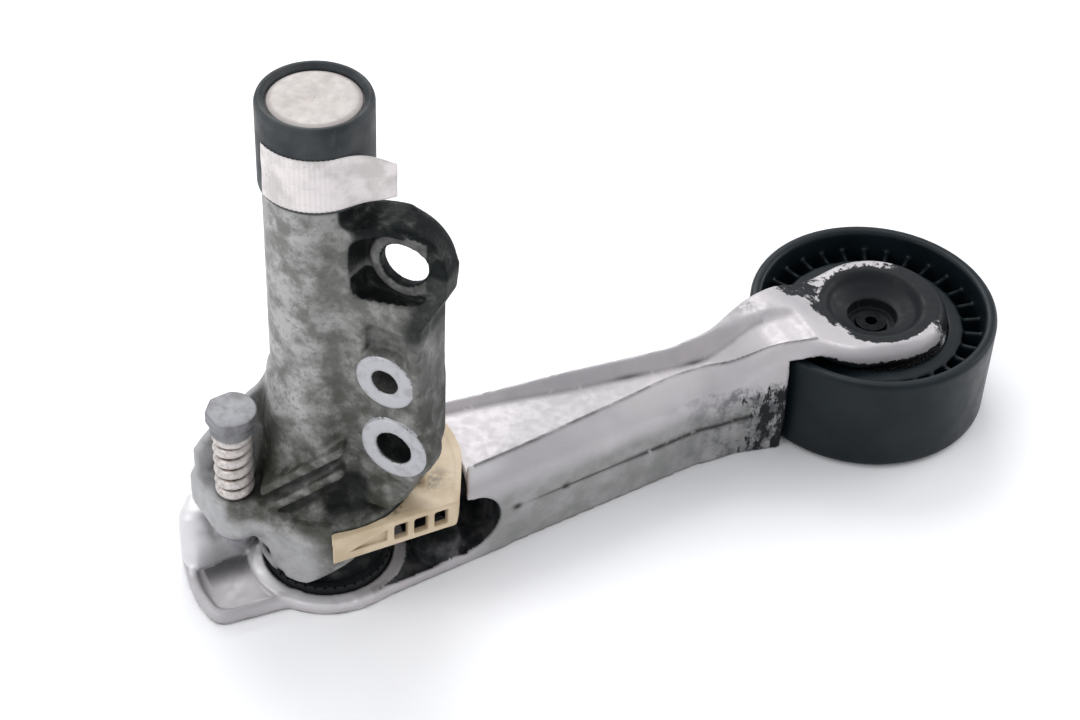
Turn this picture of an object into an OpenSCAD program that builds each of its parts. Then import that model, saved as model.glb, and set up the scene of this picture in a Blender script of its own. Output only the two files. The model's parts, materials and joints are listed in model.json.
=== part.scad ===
// Torsion-bar belt tensioner with idler pulley.
// Origin: on the pivot axis, in the plane of the arm's underside. +Z up along the pivot axis.
// The mounting bores run along Y and their seats face +Y.

/* [Arm] */
// Distance from the pivot axis to the pulley axis
arm_centres = 155; // [150:1:165]
// Direction of the arm in plan, measured from +X
arm_angle = 52; // [48:1:56]
// Height of the two ridges of the arm
arm_height = 29; // [28:0.5:30]
// Radius of the arm's hub ring
hub_r = 19.7; // [19.4:0.1:20.4]
// Half width of the arm where it is narrowest
waist_r = 9.2; // [8:0.2:10]
// Radius of the eye over the pulley
eye_r = 19.5; // [18.5:0.5:20.5]

/* [Pulley] */
// Outer diameter of the smooth belt face
pulley_d = 65; // [64:0.5:66]
// Width of the belt face
pulley_w = 28; // [27:0.5:28]
// Number of thin ribs on each side of the web
rib_count = 30; // [20:1:36]

/* [Housing] */
// Outer diameter of the tube
tube_d = 24; // [24:0.1:24.6]
// Height of the top of the black sleeve
housing_top = 141.5; // [138:0.5:150]
// Diameter of the base flange
flange_d = 41.6; // [41:0.2:41.8]

/* [Mounting bores] */
// Upper bore, medium clearance for M10
upper_bore_d = 11; // [10.5:0.5:12]
// Lower bore, medium clearance for M8
lower_bore_d = 9; // [8.4:0.2:10]
// Middle bore, medium clearance for M6
middle_bore_d = 6.6; // [6.4:0.2:7]

/* [Locking pin] */
// Diameter of the pin's shank
pin_d = 6; // [5.8:0.1:6.2]
// Width of the pin's head
pin_head_d = 12.4; // [11:0.2:13]

/* [Hidden] */
$fn = 96;
fit = 0.05;         // running clearance on a radius
seat = 0.02;        // clearance between parts fixed to each other
over = 1;           // how far a cutter runs past the face that it cuts

// Colours
cast_grey = [0.60, 0.60, 0.58];
bright_alloy = [0.80, 0.79, 0.80];
black_plastic = [0.10, 0.12, 0.13];
cream_plastic = [0.76, 0.70, 0.60];
steel = [0.62, 0.61, 0.60];
bronze = [0.60, 0.47, 0.28];

// Housing heights and radii
tube_r = tube_d / 2;
bore_r = 9.6;
neck_r = 11.2;
sleeve_r = tube_r + 0.9;
sleeve_bottom = housing_top - 22.5;
neck_top = housing_top - 5;
flange_r = flange_d / 2;
flange_bottom = 26;
flange_top = 31;
spigot_r = 14;
spigot_bottom = 5.5;
cone_top = 62;
rib_starts = [31, 37.5];
rib_slope = 38.4;
rib_length = 22.6;
rib_t = 2.6;
socket_r = 5.05;    // socket for the lower end of the torsion bar

// Lug with the three mounting bores, drawn in the XZ plane
seat_y = 6;
lug_front_y = -7;
rim_front_y = -8;
lower_front_y = -9.2;
rim_t = 3.4;        // thickness of the rim round the lug
boss_r = 8.4;       // turned faces of the upper and lower bores
middle_boss_r = 7.2;
lower_boss_r = 9.6; // wide step round the lower bore
lower_boss_y = [-7.6, -3];
hood_centre = [20.5, 104.5];
hood_r = 11.4;
hood_bottom = 92;
hood_seat_y = -2.5; // seat of the upper bolt
hood_web_y = -1.2;  // floor of the hollow under the upper bore
pocket_bottom = 77; // hollow over the middle bore
pocket_web_y = -3.5;
recess_r = 7.8;     // recess behind the upper bore
recess_y = 0.3;
recess_drop = [-1.5, -6];
upper_bore = [22.4, 105.2];
middle_bore = [21, 75];
lower_bore = [23.5, 56];

// Locking pin and its ear
pin_x = -14.6;
pin_y = -17.4;
pin_r = pin_d / 2;
ear_bottom = 20;
ear_top = 32;
pin_tip = 14;
pin_collar = 52;
pin_top = 58.5;
spring_r = 4.75;
spring_wire = 1.6;
gusset_end = [-24.9, -15.8];
gusset_start = [-11.5, -4.0];
gusset_t = 2.6;

// Arm levels
tray_floor = 1.5;
cup_floor = 2;
cup_r = 15.9;
rim_top = 3;
deck_top = 20.5;
deck_r = 34;
pocket_end = 39.8;
pocket_end_r = 8.9;
pocket_top = 21.3;
channel_floor = 22.5;
shoulder_z = 23;
tab_r = 35;
stop_top = 19;
return_top = 10.3;
wall = 3.5;
lock_angle = 30;
lock_r = norm([pin_x, pin_y]);
lock_az = atan2(pin_y, pin_x) + 360 - lock_angle - arm_angle;
lock_top = 10.2;

// Pulley and bearing, with the sizes of a 17 x 40 x 12 ball bearing
pulley_r = pulley_d / 2;
pulley_bottom = 1;
pulley_top = pulley_bottom + pulley_w;
rim_in_r = pulley_r - 3.2;
bearing_bottom = 9;
bearing_w = 12;
bearing_top = bearing_bottom + bearing_w;
bearing_mid = bearing_bottom + bearing_w / 2;
bearing_r = 20;
bearing_bore_r = 8.5;
ball_r = 3.37;
ball_count = 8;
pitch_r = 14.25;
race_gap = 0.03;
race_in_r = 12.2;
race_out_r = 16.6;
hub_ring_r = 24.2;
hub_ring_top = 23.5;
eye_bottom = 24.4;
eye_top = 29.3;
tongue_top = 35;
tongue_bottom = pulley_top + 1.2;
bolt_r = 4;

// Placement helpers
module arm_frame() rotate([0, 0, arm_angle]) children();
module at_pulley() arm_frame() translate([arm_centres, 0, 0]) children();
module at_pin() translate([pin_x, pin_y, 0]) children();

// A cylinder along Y through (x, z), from y0 to y1
module y_cylinder(place, r, y0, y1)
    translate([place[0], y1, place[1]]) rotate([90, 0, 0]) cylinder(r = r, h = y1 - y0);

// An XZ outline carried along Y from y0 to y1
module y_plate(y0, y1)
    translate([0, y1, 0]) rotate([90, 0, 0]) linear_extrude(y1 - y0) children();

// A plain ring
module ring(r_out, r_in, z0, z1)
    translate([0, 0, z0])
        difference() {
            cylinder(r = r_out, h = z1 - z0);
            translate([0, 0, -over]) cylinder(r = r_in, h = z1 - z0 + 2 * over);
        }

// A wedge of the plane between two azimuths, out to radius r
module wedge(r, a0, a1, steps = 6)
    polygon(concat([[0, 0]], [for (i = [0 : steps])
        let (a = a0 + (a1 - a0) * i / steps) r / cos((a1 - a0) / steps / 2) * [cos(a), sin(a)]]));

// An upright piece of a ring between two azimuths
module ring_sector(r_out, r_in, a0, a1, z0, z1)
    intersection() {
        ring(r_out, r_in, z0, z1);
        translate([0, 0, z0 - over]) linear_extrude(z1 - z0 + 2 * over) wedge(r_out + over, a0, a1);
    }

// ---- Housing ----

module lug_outline() {
    offset(r = 2.5) offset(delta = -2.5)
        polygon([[0, 33], [21, 33], [25.6, 38.5], [28.2, 46], [29.6, 53], [29.6, 70], [29.2, 74], [29.2, 92],
                 [32, 98], [32, hood_centre[1]], [hood_centre[0], hood_centre[1] + hood_r], [0, 113]]);
    translate(hood_centre) circle(r = hood_r);
}

module lug_rim_inside() offset(delta = -rim_t) lug_outline();

// Hollow round and under the upper bore
module hood_outline()
    intersection() {
        lug_rim_inside();
        translate([8, hood_bottom]) square([40, 40]);
    }

// Shallow hollow over the middle bore
module pocket_outline()
    difference() {
        intersection() {
            lug_rim_inside();
            translate([15, pocket_bottom]) square([20, 12.5]);
        }
        translate(middle_bore) circle(r = middle_boss_r);
    }

module recess_outline()
    hull() {
        translate(upper_bore) circle(r = recess_r);
        translate(upper_bore + recess_drop) circle(r = recess_r);
    }

module lug() {
    difference() {
        union() {
            y_plate(lug_front_y, seat_y) lug_outline();
            y_plate(rim_front_y, lug_front_y + 0.5)
                difference() {
                    lug_outline();
                    lug_rim_inside();
                    square([tube_r, 200]);
                }
        }
        y_plate(rim_front_y - over, pocket_web_y) pocket_outline();
        y_plate(rim_front_y - over, hood_seat_y) hood_outline();
        y_plate(rim_front_y - over, hood_seat_y) translate([15, 98]) square(30);
        y_plate(rim_front_y - over, hood_web_y)
            difference() {
                hood_outline();
                translate(upper_bore) circle(r = boss_r);
            }
    }
    y_cylinder(middle_bore, middle_boss_r, rim_front_y, seat_y);
    y_cylinder(lower_bore, lower_boss_r, lower_boss_y[0], lower_boss_y[1]);
    y_cylinder(lower_bore, boss_r, lower_front_y, lower_boss_y[1]);
}

// Rib that climbs across the front of the base, from the flange towards the lug
module flange_rib(z0)
    translate([-4, -18.6, z0]) rotate([0, 0, 21.6]) rotate([0, -rib_slope, 0])
        cube([rib_length, 8, rib_t]);

module ear() {
    translate([0, 0, ear_bottom + 2])
        linear_extrude(ear_top - ear_bottom - 2)
            hull() {
                translate(gusset_end) circle(r = 2.4, $fn = 32);
                translate([pin_x, pin_y]) circle(r = 5.6, $fn = 32);
                circle(r = 13, $fn = 48);
            }
    at_pin() translate([0, 0, ear_bottom]) cylinder(r = 5.4, h = ear_top - ear_bottom);
}

// Guard wall between the tube and the corner of the ear
module gusset() {
    run = gusset_end - gusset_start;
    length = norm(run);
    translate([gusset_start[0], gusset_start[1], 0]) rotate([0, 0, atan2(run[1], run[0])])
        translate([0, gusset_t / 2, 0]) rotate([90, 0, 0])
            linear_extrude(gusset_t)
                polygon([[-4, ear_bottom + 4], [length, ear_bottom + 4], [length + 2, ear_bottom + 6],
                         [length + 2, 40], [length - 1, 43], [length - 7, 50], [length - 13, 55.5],
                         [0, 60], [-4, 61]]);
}

// Downward stop wall of the housing, in front of the arm's cup
module stop_wall() {
    ring_sector(15.8, spigot_r - 1, 238, 284, spigot_bottom + 0.1, flange_bottom + 1);
    ring_sector(18, spigot_r - 1, 240, 282, rim_top + 4, flange_bottom + 1);
    ring_sector(19.4, spigot_r - 1, 242, 312, flange_bottom - 9, flange_bottom + 1);
}

module housing_body() {
    translate([0, 0, flange_bottom]) cylinder(r = tube_r, h = sleeve_bottom - flange_bottom);
    translate([0, 0, sleeve_bottom - over]) cylinder(r = neck_r, h = neck_top - sleeve_bottom + over);
    translate([0, 0, flange_top - 0.5]) cylinder(r1 = 16.6, r2 = tube_r, h = cone_top - flange_top + 0.5);
    rotate_extrude()
        polygon([[0, flange_bottom], [flange_r - 1, flange_bottom], [flange_r, flange_bottom + 1],
                 [flange_r, flange_top - 1.2], [flange_r - 1.2, flange_top], [0, flange_top]]);
    translate([0, 0, spigot_bottom]) cylinder(r = spigot_r, h = flange_bottom - spigot_bottom + over);
    stop_wall();
    ear();
    gusset();
    for (z0 = rib_starts) flange_rib(z0);
    lug();
}

module housing()
    color(cast_grey)
    difference() {
        housing_body();
        // main bore, and the recess over the arm's boss
        translate([0, 0, spigot_bottom - over]) cylinder(r = bore_r, h = housing_top);
        translate([0, 0, spigot_bottom - over]) cylinder(r = 12.4, h = over + 1.7);
        // mounting bores
        y_cylinder(upper_bore, upper_bore_d / 2, -20, 20);
        y_plate(recess_y, seat_y + over) recess_outline();
        y_cylinder(middle_bore, middle_bore_d / 2, -20, 20);
        y_cylinder(lower_bore, lower_bore_d / 2, -20, 20);
        // bore of the locking pin
        at_pin() translate([0, 0, ear_bottom - over])
            cylinder(r = pin_r + fit, h = ear_top - ear_bottom + 2 * over);
    }

module end_sleeve()
    color(black_plastic)
    rotate_extrude()
        polygon([[neck_r + seat, sleeve_bottom + seat], [sleeve_r - 0.5, sleeve_bottom + seat],
                 [sleeve_r, sleeve_bottom + 1], [sleeve_r, housing_top - 1.4],
                 [sleeve_r - 0.4, housing_top - 0.4], [sleeve_r - 1.2, housing_top],
                 [neck_r - 0.2, housing_top], [neck_r - 0.6, housing_top - 0.5],
                 [neck_r - 0.6, housing_top - 1.6], [neck_r + seat, housing_top - 1.6]]);

module end_plug()
    color(bright_alloy)
    translate([0, 0, neck_top + seat])
        union() {
            cylinder(r = neck_r, h = 3.3);
            cylinder(r = neck_r - 0.8, h = 4.2);
        }

// Paper label wrapped round the sleeve, with one loose end
module label() {
    thick = 0.3;
    start = 238;
    leaves = 320;
    flap_heading = 38;
    flap_t = 0.18;
    color("white")
    translate([0, 0, sleeve_bottom + 1.2])
        linear_extrude(13.6) {
            intersection() {
                difference() {
                    circle(r = sleeve_r + seat + thick);
                    circle(r = sleeve_r + seat);
                }
                wedge(sleeve_r + 2, start, leaves);
            }
            rotate(leaves) translate([sleeve_r + seat + 0.1, 0]) rotate(flap_heading - leaves)
                translate([-0.2, -flap_t]) square([13.2, flap_t]);
        }
}

// ---- Parts inside the tube ----

module torsion_bar() {
    hex_r = 5;
    color(steel)
    union() {
        // the splined lower end, drawn plain
        translate([0, 0, 4]) cylinder(r = socket_r - fit, h = 14);
        translate([0, 0, 17]) cylinder(r = 3.6, h = neck_top - 30);
        translate([0, 0, neck_top - 14]) cylinder(r = hex_r, h = 13.4, $fn = 6);
    }
}

module bar_anchor()
    color(steel)
    difference() {
        translate([0, 0, neck_top - 13]) cylinder(r = bore_r - seat, h = 12.4);
        translate([0, 0, neck_top - 14]) cylinder(r = 5 + seat, h = 16, $fn = 6);
    }

module bush(z0, z1) color(bronze) ring(bore_r - seat, 8 + fit, z0, z1);
module lower_bush() bush(10.2, 26);
module upper_bush() bush(42, 58);
module shaft_seal() color(black_plastic) ring(bore_r - seat, 8 + fit, 7.4, 10);

module pivot_shaft()
    color(steel)
    difference() {
        translate([0, 0, tray_floor + seat]) cylinder(r = 8, h = 62 - tray_floor);
        // socket for the end of the bar, then the plain bore
        translate([0, 0, 3]) cylinder(r = socket_r, h = 20);
        translate([0, 0, 18]) cylinder(r = 5.6, h = 60);
        // groove of the retaining ring
        difference() {
            translate([0, 0, 59.6]) cylinder(r = 9, h = 1.2);
            translate([0, 0, 59]) cylinder(r = 7.3, h = 3);
        }
    }

module retaining_ring()
    color(steel)
    difference() {
        ring(bore_r - 0.3, 7.3 + seat, 59.65, 60.75);
        translate([-1.6, 0, 59]) cube([3.2, 12, 3]);
    }

module thrust_washer() color(bronze) ring(12.2, 8 + fit, 6.05, 7.1);

module friction_ring()
    color(black_plastic)
    difference() {
        ring(15.7, 12.2, cup_floor + seat, 5.2);
        for (i = [0 : 39])
            rotate([0, 0, i * 9]) translate([15, -0.35, 4.6]) cube([2, 0.7, 2]);
    }

// ---- Arm ----

module body_outline()
    hull() {
        circle(r = hub_r);
        translate([103, 0]) circle(r = waist_r);
    }

module tongue_outline()
    hull() {
        translate([107, 0]) circle(r = waist_r);
        translate([arm_centres + 1, -0.5]) circle(r = eye_r);
    }

module tab_outline()
    intersection() {
        circle(r = tab_r);
        polygon([[-10, 19], [-40, 16], [-40, -9], [-33, -11.2], [-14, -11.2], [0, 0]]);
    }

// Pocket in the near side, next to the hub, with a round end
module side_pocket()
    intersection() {
        y_plate(-40, 2)
            union() {
                translate([pocket_end - pocket_end_r, pocket_top - pocket_end_r]) circle(r = pocket_end_r);
                translate([0, tray_floor]) square([pocket_end - pocket_end_r, pocket_top - tray_floor]);
            }
        difference() {
            translate([0, 0, tray_floor]) cylinder(r = 60, h = 30);
            cylinder(r = hub_r - 3, h = 40);
        }
    }

// Walls and ridges from the hub to the pulley, with the channel between the ridges
module arm_beam() {
    difference() {
        union() {
            linear_extrude(shoulder_z) body_outline();
            translate([0, 0, shoulder_z - 0.1]) linear_extrude(3.1) offset(delta = -1.6) body_outline();
            translate([0, 0, shoulder_z + 2.9])
                linear_extrude(arm_height - shoulder_z - 2.9) offset(delta = -3.6) body_outline();
        }
        // room for the base of the housing
        translate([0, 0, rim_top]) cylinder(r = hub_r, h = 60);
        translate([0, 0, deck_top]) cylinder(r = deck_r, h = 60);
        // channel between the ridges
        translate([0, 0, channel_floor])
            linear_extrude(20) polygon([[0, -11.5], [60, -4.6], [116, -1.2], [116, 4], [60, 7], [0, 13]]);
        // open underside with cross ribs
        difference() {
            translate([0, 0, -over])
                linear_extrude(17 + over)
                    intersection() {
                        offset(delta = -wall) body_outline();
                        translate([47, -30]) square([57, 60]);
                    }
            for (s = [64, 84]) translate([s, -20, 0]) cube([3, 40, 20]);
        }
        side_pocket();
    }
    // lip along the outer edge of the pocket
    linear_extrude(rim_top)
        intersection() {
            difference() {
                body_outline();
                offset(delta = -1.3) body_outline();
            }
            translate([0, -30]) square([44, 30]);
        }
    translate([25, -9.5, 0]) cylinder(r = 6.2, h = 7.5);
}

// Neck that climbs over the pulley's rim and dips to the eye
module arm_tongue()
    intersection() {
        translate([0, 40, 0]) rotate([90, 0, 0])
            linear_extrude(80)
                polygon([[100, 0], [100, 26], [108, arm_height], [113, 31], [119, 34], [124, tongue_top],
                         [131, 34.4], [138, 31], [143, eye_top], [180, eye_top], [180, 0]]);
        linear_extrude(60) tongue_outline();
    }

// Room for the pulley, its rim and its ribs
module pulley_room()
    translate([arm_centres, 0, 0])
        rotate_extrude()
            polygon([[0, -over], [pulley_r + 2, -over], [pulley_r + 2, tongue_bottom], [28, tongue_bottom],
                     [21.5, eye_bottom], [0, eye_bottom]]);

module arm_tab() {
    linear_extrude(tray_floor) tab_outline();
    linear_extrude(rim_top)
        difference() {
            tab_outline();
            offset(delta = -1.4) tab_outline();
        }
    // curved stop lug, its return wall and the boss that takes the locking pin
    ring_sector(tab_r, tab_r - 4.5, 148, 162, 0, stop_top);
    translate([-30.2, 10.4, 0]) cylinder(r = 3.4, h = stop_top);
    translate([-31, 7.2, 0]) cube([12.5, 4, return_top]);
    rotate([0, 0, lock_az]) translate([lock_r, 0, 0]) cylinder(r = 5.2, h = lock_top);
}

module eye_boss() {
    translate([arm_centres, 0, bearing_top]) cylinder(r = 11.8, h = eye_bottom - bearing_top + over);
    translate([arm_centres, 0, bearing_bottom + 0.6]) cylinder(r = bearing_bore_r - seat, h = 14);
}

// Recess of the hub, with a chamfered edge, round its middle boss
module hub_cup()
    difference() {
        union() {
            translate([0, 0, cup_floor]) cylinder(r = cup_r, h = 5);
            translate([0, 0, rim_top - 0.8]) cylinder(r1 = cup_r, r2 = cup_r + 0.9, h = 0.9);
        }
        cylinder(r = 12, h = 20);
    }

module arm()
    color(bright_alloy)
    arm_frame()
    difference() {
        union() {
            difference() {
                union() {
                    arm_beam();
                    arm_tongue();
                }
                pulley_room();
            }
            cylinder(r = hub_r, h = rim_top);
            cylinder(r = 12, h = 6);
            arm_tab();
            eye_boss();
        }
        hub_cup();
        // seat of the pivot shaft
        translate([0, 0, tray_floor]) cylinder(r = 8 + seat, h = 20);
        // socket of the locking pin
        rotate([0, 0, lock_az]) translate([lock_r, 0, 4]) cylinder(r = pin_r + 0.3, h = 20);
        // dish of the eye, and the threaded hole
        translate([arm_centres, 0, 0]) {
            rotate_extrude()
                polygon([[0, 22], [6.5, 22], [6.5, 25], [8.4, 25.7], [11.4, 27.4], [12.7, eye_top],
                         [12.9, eye_top + over], [0, eye_top + over]]);
            cylinder(r = bolt_r + seat, h = 40);
        }
        // closed channel end on the tongue
        translate([116, -1.6, tongue_top - 1.5]) linear_extrude(5)
            offset(r = 2) square([13, 4]);
    }

// ---- Locking pin ----

module locking_pin()
    color(steel)
    at_pin()
    difference() {
        union() {
            translate([0, 0, pin_tip + 1]) cylinder(r = pin_r, h = pin_top - pin_tip - 2);
            translate([0, 0, pin_tip]) cylinder(r1 = pin_r - 1, r2 = pin_r, h = 1.01);
            translate([0, 0, pin_collar]) cylinder(r = 5.3, h = 2.2);
            translate([0, 0, pin_collar + 2]) cylinder(r = pin_head_d / 2, h = pin_top - pin_collar - 2);
        }
        ring(pin_r + 1, pin_r - 0.6, ear_bottom - 1.3, ear_bottom - 0.1);
    }

module pin_clip()
    color(steel)
    at_pin()
    difference() {
        ring(4.6, pin_r - 0.6 + seat, ear_bottom - 1.25, ear_bottom - 0.15);
        translate([-1.2, 0, ear_bottom - 3]) cube([2.4, 8, 4]);
    }

module pin_spring()
    color(steel)
    at_pin()
    ring(spring_r, spring_r - spring_wire + 0.05, ear_top + 0.05, pin_collar - 0.05);

// ---- Shield ----

module shield_outline()
    intersection() {
        difference() {
            circle(r = 33.2);
            circle(r = flange_r + 0.3);
        }
        polygon([[-7.5, -22.6], [60, -22.6], [60, 12], [0, 6], [-3, -10]]);
    }

module dust_shield() {
    shield_top = 30;
    skirt_bottom = 22;
    windows = [10, 15.2, 20.4];
    hooks = [-30, 5];
    color(cream_plastic)
    arm_frame()
    difference() {
        union() {
            translate([0, 0, shield_top - 1.8]) linear_extrude(1.8) shield_outline();
            // front wall and curved outer wall
            translate([0, 0, skirt_bottom])
                linear_extrude(shield_top - skirt_bottom)
                    intersection() {
                        shield_outline();
                        union() {
                            translate([-10, -23]) square([50, 1.9]);
                            difference() {
                                circle(r = 40);
                                circle(r = 31.6);
                            }
                        }
                    }
            // tabs that hook over the flange
            for (a = hooks)
                rotate([0, 0, a]) translate([flange_r - 1.5, -2, flange_top + seat]) cube([5, 4, 1.2]);
            for (a = hooks)
                rotate([0, 0, a]) translate([flange_r + 0.4, -2, shield_top - 1]) cube([3.1, 4, 2.2 + seat]);
        }
        for (s = windows)
            translate([s - 1.4, -24, 24.2]) cube([2.8, 4, 4]);
    }
}

// ---- Pulley and bearing ----

module pulley()
    color(black_plastic)
    at_pulley() {
        // rim with rounded edges
        rotate_extrude()
            polygon([[rim_in_r, pulley_bottom + 1.2], [rim_in_r + 1, pulley_bottom],
                     [pulley_r - 1.2, pulley_bottom], [pulley_r - 0.35, pulley_bottom + 0.35],
                     [pulley_r, pulley_bottom + 1.2], [pulley_r, pulley_top - 1.2],
                     [pulley_r - 0.35, pulley_top - 0.35], [pulley_r - 1.2, pulley_top],
                     [rim_in_r + 1, pulley_top], [rim_in_r, pulley_top - 1.2]]);
        ring(rim_in_r + 0.5, hub_ring_r - 0.5, bearing_mid - 1.3, bearing_mid + 1.3);
        ring(hub_ring_r, bearing_r + seat, bearing_bottom - 2.5, hub_ring_top);
        for (i = [0 : rib_count - 1])
            rotate([0, 0, 360 * (i + 0.5) / rib_count])
                translate([hub_ring_r - 0.5, -0.6, bearing_mid - 9])
                    cube([rim_in_r - hub_ring_r + 1, 1.2, 17]);
    }

module race_groove()
    rotate_extrude() translate([pitch_r, bearing_mid]) circle(r = ball_r + race_gap);

module bearing_outer_ring()
    color(steel)
    at_pulley()
    difference() {
        ring(bearing_r, race_out_r, bearing_bottom, bearing_top);
        race_groove();
    }

module bearing_inner_ring()
    color(steel)
    at_pulley()
    difference() {
        ring(race_in_r, bearing_bore_r, bearing_bottom, bearing_top - seat);
        race_groove();
    }

module each_ball()
    for (i = [0 : ball_count - 1])
        rotate([0, 0, 360 * i / ball_count]) translate([pitch_r, 0, bearing_mid]) children();

module bearing_balls() color("silver") at_pulley() each_ball() sphere(r = ball_r);

module bearing_cage()
    color(cream_plastic)
    at_pulley()
    difference() {
        ring(15.5, 13, bearing_mid - 2.6, bearing_mid + 3.9);
        each_ball() sphere(r = ball_r + fit);
    }

module bearing_seals()
    color(black_plastic)
    at_pulley() {
        ring(race_out_r - 0.1, race_in_r + 0.3, bearing_bottom + 0.2, bearing_bottom + 1);
        ring(race_out_r - 0.1, race_in_r + 0.3, bearing_top - 1, bearing_top - 0.2);
    }

module pulley_washer()
    color(steel)
    at_pulley()
    ring(11.6, bolt_r + seat, bearing_bottom - 1.8, bearing_bottom - seat);

module pulley_bolt()
    color(black_plastic)
    at_pulley()
    difference() {
        union() {
            translate([0, 0, 3]) cylinder(r = bolt_r, h = 20);
            translate([0, 0, 2.4]) cylinder(r = 6.5 / cos(30), h = 3.8, $fn = 6);
            translate([0, 0, 6]) cylinder(r = 8, h = bearing_bottom - 1.8 - seat - 6);
        }
        translate([0, 0, 20]) cylinder(r = 1.6, h = 5);
    }

housing();
end_sleeve();
end_plug();
label();
torsion_bar();
bar_anchor();
upper_bush();
lower_bush();
shaft_seal();
dust_shield();
arm();
pivot_shaft();
friction_ring();
thrust_washer();
retaining_ring();
locking_pin();
pin_spring();
pin_clip();
pulley();
bearing_outer_ring();
bearing_inner_ring();
bearing_balls();
bearing_cage();
bearing_seals();
pulley_bolt();
pulley_washer();
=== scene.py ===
import json
import math

import bpy
import numpy as np
from mathutils import Matrix, Vector


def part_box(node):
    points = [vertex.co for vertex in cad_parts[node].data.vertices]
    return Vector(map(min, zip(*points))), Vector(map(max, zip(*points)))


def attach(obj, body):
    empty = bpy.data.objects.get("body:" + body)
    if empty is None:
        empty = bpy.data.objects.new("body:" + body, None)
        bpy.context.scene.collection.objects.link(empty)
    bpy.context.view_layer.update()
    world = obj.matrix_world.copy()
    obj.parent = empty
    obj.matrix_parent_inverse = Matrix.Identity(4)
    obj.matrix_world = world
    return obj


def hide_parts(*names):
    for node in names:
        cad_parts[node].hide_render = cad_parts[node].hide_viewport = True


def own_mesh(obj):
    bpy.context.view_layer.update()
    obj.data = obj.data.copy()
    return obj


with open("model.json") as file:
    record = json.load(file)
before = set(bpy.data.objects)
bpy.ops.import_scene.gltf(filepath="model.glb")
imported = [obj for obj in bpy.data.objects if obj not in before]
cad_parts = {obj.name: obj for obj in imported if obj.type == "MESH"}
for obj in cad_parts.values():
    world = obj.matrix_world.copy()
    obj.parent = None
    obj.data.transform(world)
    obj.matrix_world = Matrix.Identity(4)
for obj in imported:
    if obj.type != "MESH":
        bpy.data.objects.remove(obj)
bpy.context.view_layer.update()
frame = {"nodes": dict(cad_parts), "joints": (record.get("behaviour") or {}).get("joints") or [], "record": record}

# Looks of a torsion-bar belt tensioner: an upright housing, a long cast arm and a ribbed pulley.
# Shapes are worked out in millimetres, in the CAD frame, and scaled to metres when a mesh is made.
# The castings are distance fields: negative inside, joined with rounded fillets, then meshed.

MM = 0.001


def box_mm(node):
    """Lowest and highest corner of a CAD node, in millimetres."""
    low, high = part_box(node)
    return np.array(low) / MM, np.array(high) / MM


def bore(name):
    """(x, z, radius) of one of the housing's mounting bores, in millimetres."""
    mount = next(m for m in frame["record"]["mounts"] if m["name"] == name)
    return mount["pos_m"][0] / MM, mount["pos_m"][2] / MM, mount["dims"]["r_mm"]


# ---- Sizes from the frame ----

PULLEY_LOW, PULLEY_HIGH = box_mm("pulley")
PULLEY_AT = (PULLEY_LOW + PULLEY_HIGH) / 2
PULLEY_R = (PULLEY_HIGH[0] - PULLEY_LOW[0]) / 2
ARM_ANGLE = math.atan2(PULLEY_AT[1], PULLEY_AT[0])
ARM_L = math.hypot(PULLEY_AT[0], PULLEY_AT[1])
ARM_TO_ROW = np.array([[math.cos(ARM_ANGLE), -math.sin(ARM_ANGLE)],
                       [math.sin(ARM_ANGLE), math.cos(ARM_ANGLE)]])
SLEEVE_LOW, SLEEVE_HIGH = box_mm("end_sleeve")
SLEEVE_R = (SLEEVE_HIGH[0] - SLEEVE_LOW[0]) / 2
TOP = SLEEVE_HIGH[2]
TUBE_R = SLEEVE_R - 0.9
PLUG_TOP = box_mm("end_plug")[1][2]
PIN_LOW, PIN_HIGH = box_mm("locking_pin")
PIN_AT = (PIN_LOW + PIN_HIGH) / 2
SPRING_LOW, SPRING_HIGH = box_mm("pin_spring")
SHIELD_TOP = box_mm("dust_shield")[1][2]
UPPER_BORE = bore("upper_bolt_bore")
MIDDLE_BORE = bore("middle_bolt_bore")
LOWER_BORE = bore("lower_bolt_bore")
SEAT_Y = 6.0
BORE_R = 9.6

# The arm, in its own frame: s along the arm, t to its left, z up
HUB_R = 19.7
WAIST_S, WAIST_R = 103.0, 9.2
EYE_R = 19.5
TAB_R = 35.0
FLANGE_R = 20.8
# (azimuth, height) of the notches in the housing's front wall
NOTCHES = ((-111, 14.0), (-101, 6.6))
MM_PER_DEGREE = 0.32    # along the front wall
RIB_STARTS = (30.5, 37.5)
BOSS_R = 8.4            # turned faces of the upper and lower bores
MIDDLE_BOSS_R = 7.2
SEAM_Z = 13.2           # parting line of the arm
POCKET_AT, POCKET_R = (30.9, 12.4), 8.9


# ---- Distance fields ----

class Grid:
    """A box of sample points. Its axes broadcast, so a field of two axes stays small."""

    def __init__(self, low, high, step):
        self.low, self.step = np.array(low, float), step
        axes = [np.arange(a, b + step, step, dtype=np.float32) for a, b in zip(low, high)]
        self.x = axes[0][:, None, None]
        self.y = axes[1][None, :, None]
        self.z = axes[2][None, None, :]
        self.shape = tuple(len(a) for a in axes)


def join(a, b, fillet):
    """Union with a fillet of about that radius."""
    h = np.clip(0.5 + 0.5 * (b - a) / fillet, 0, 1)
    return b + (a - b) * h - fillet * h * (1 - h)


def keep(a, b, edge):
    """Intersection whose edge is rounded."""
    return -join(-a, -b, edge)


def cut(a, b, edge):
    """a without b, with a rounded edge."""
    return keep(a, -b, edge)


def circle(x, y, r):
    return np.sqrt(x * x + y * y) - r


def about(x, z, place, r=0.0):
    """Distance to a circle round a bore, seen along Y."""
    return circle(x - place[0], z - place[1], r)


def most(*values):
    """The largest of several fields or masks, point by point."""
    largest = values[0]
    for value in values[1:]:
        largest = np.maximum(largest, value)
    return largest


def slab(v, low, high):
    return np.maximum(low - v, v - high)


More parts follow.
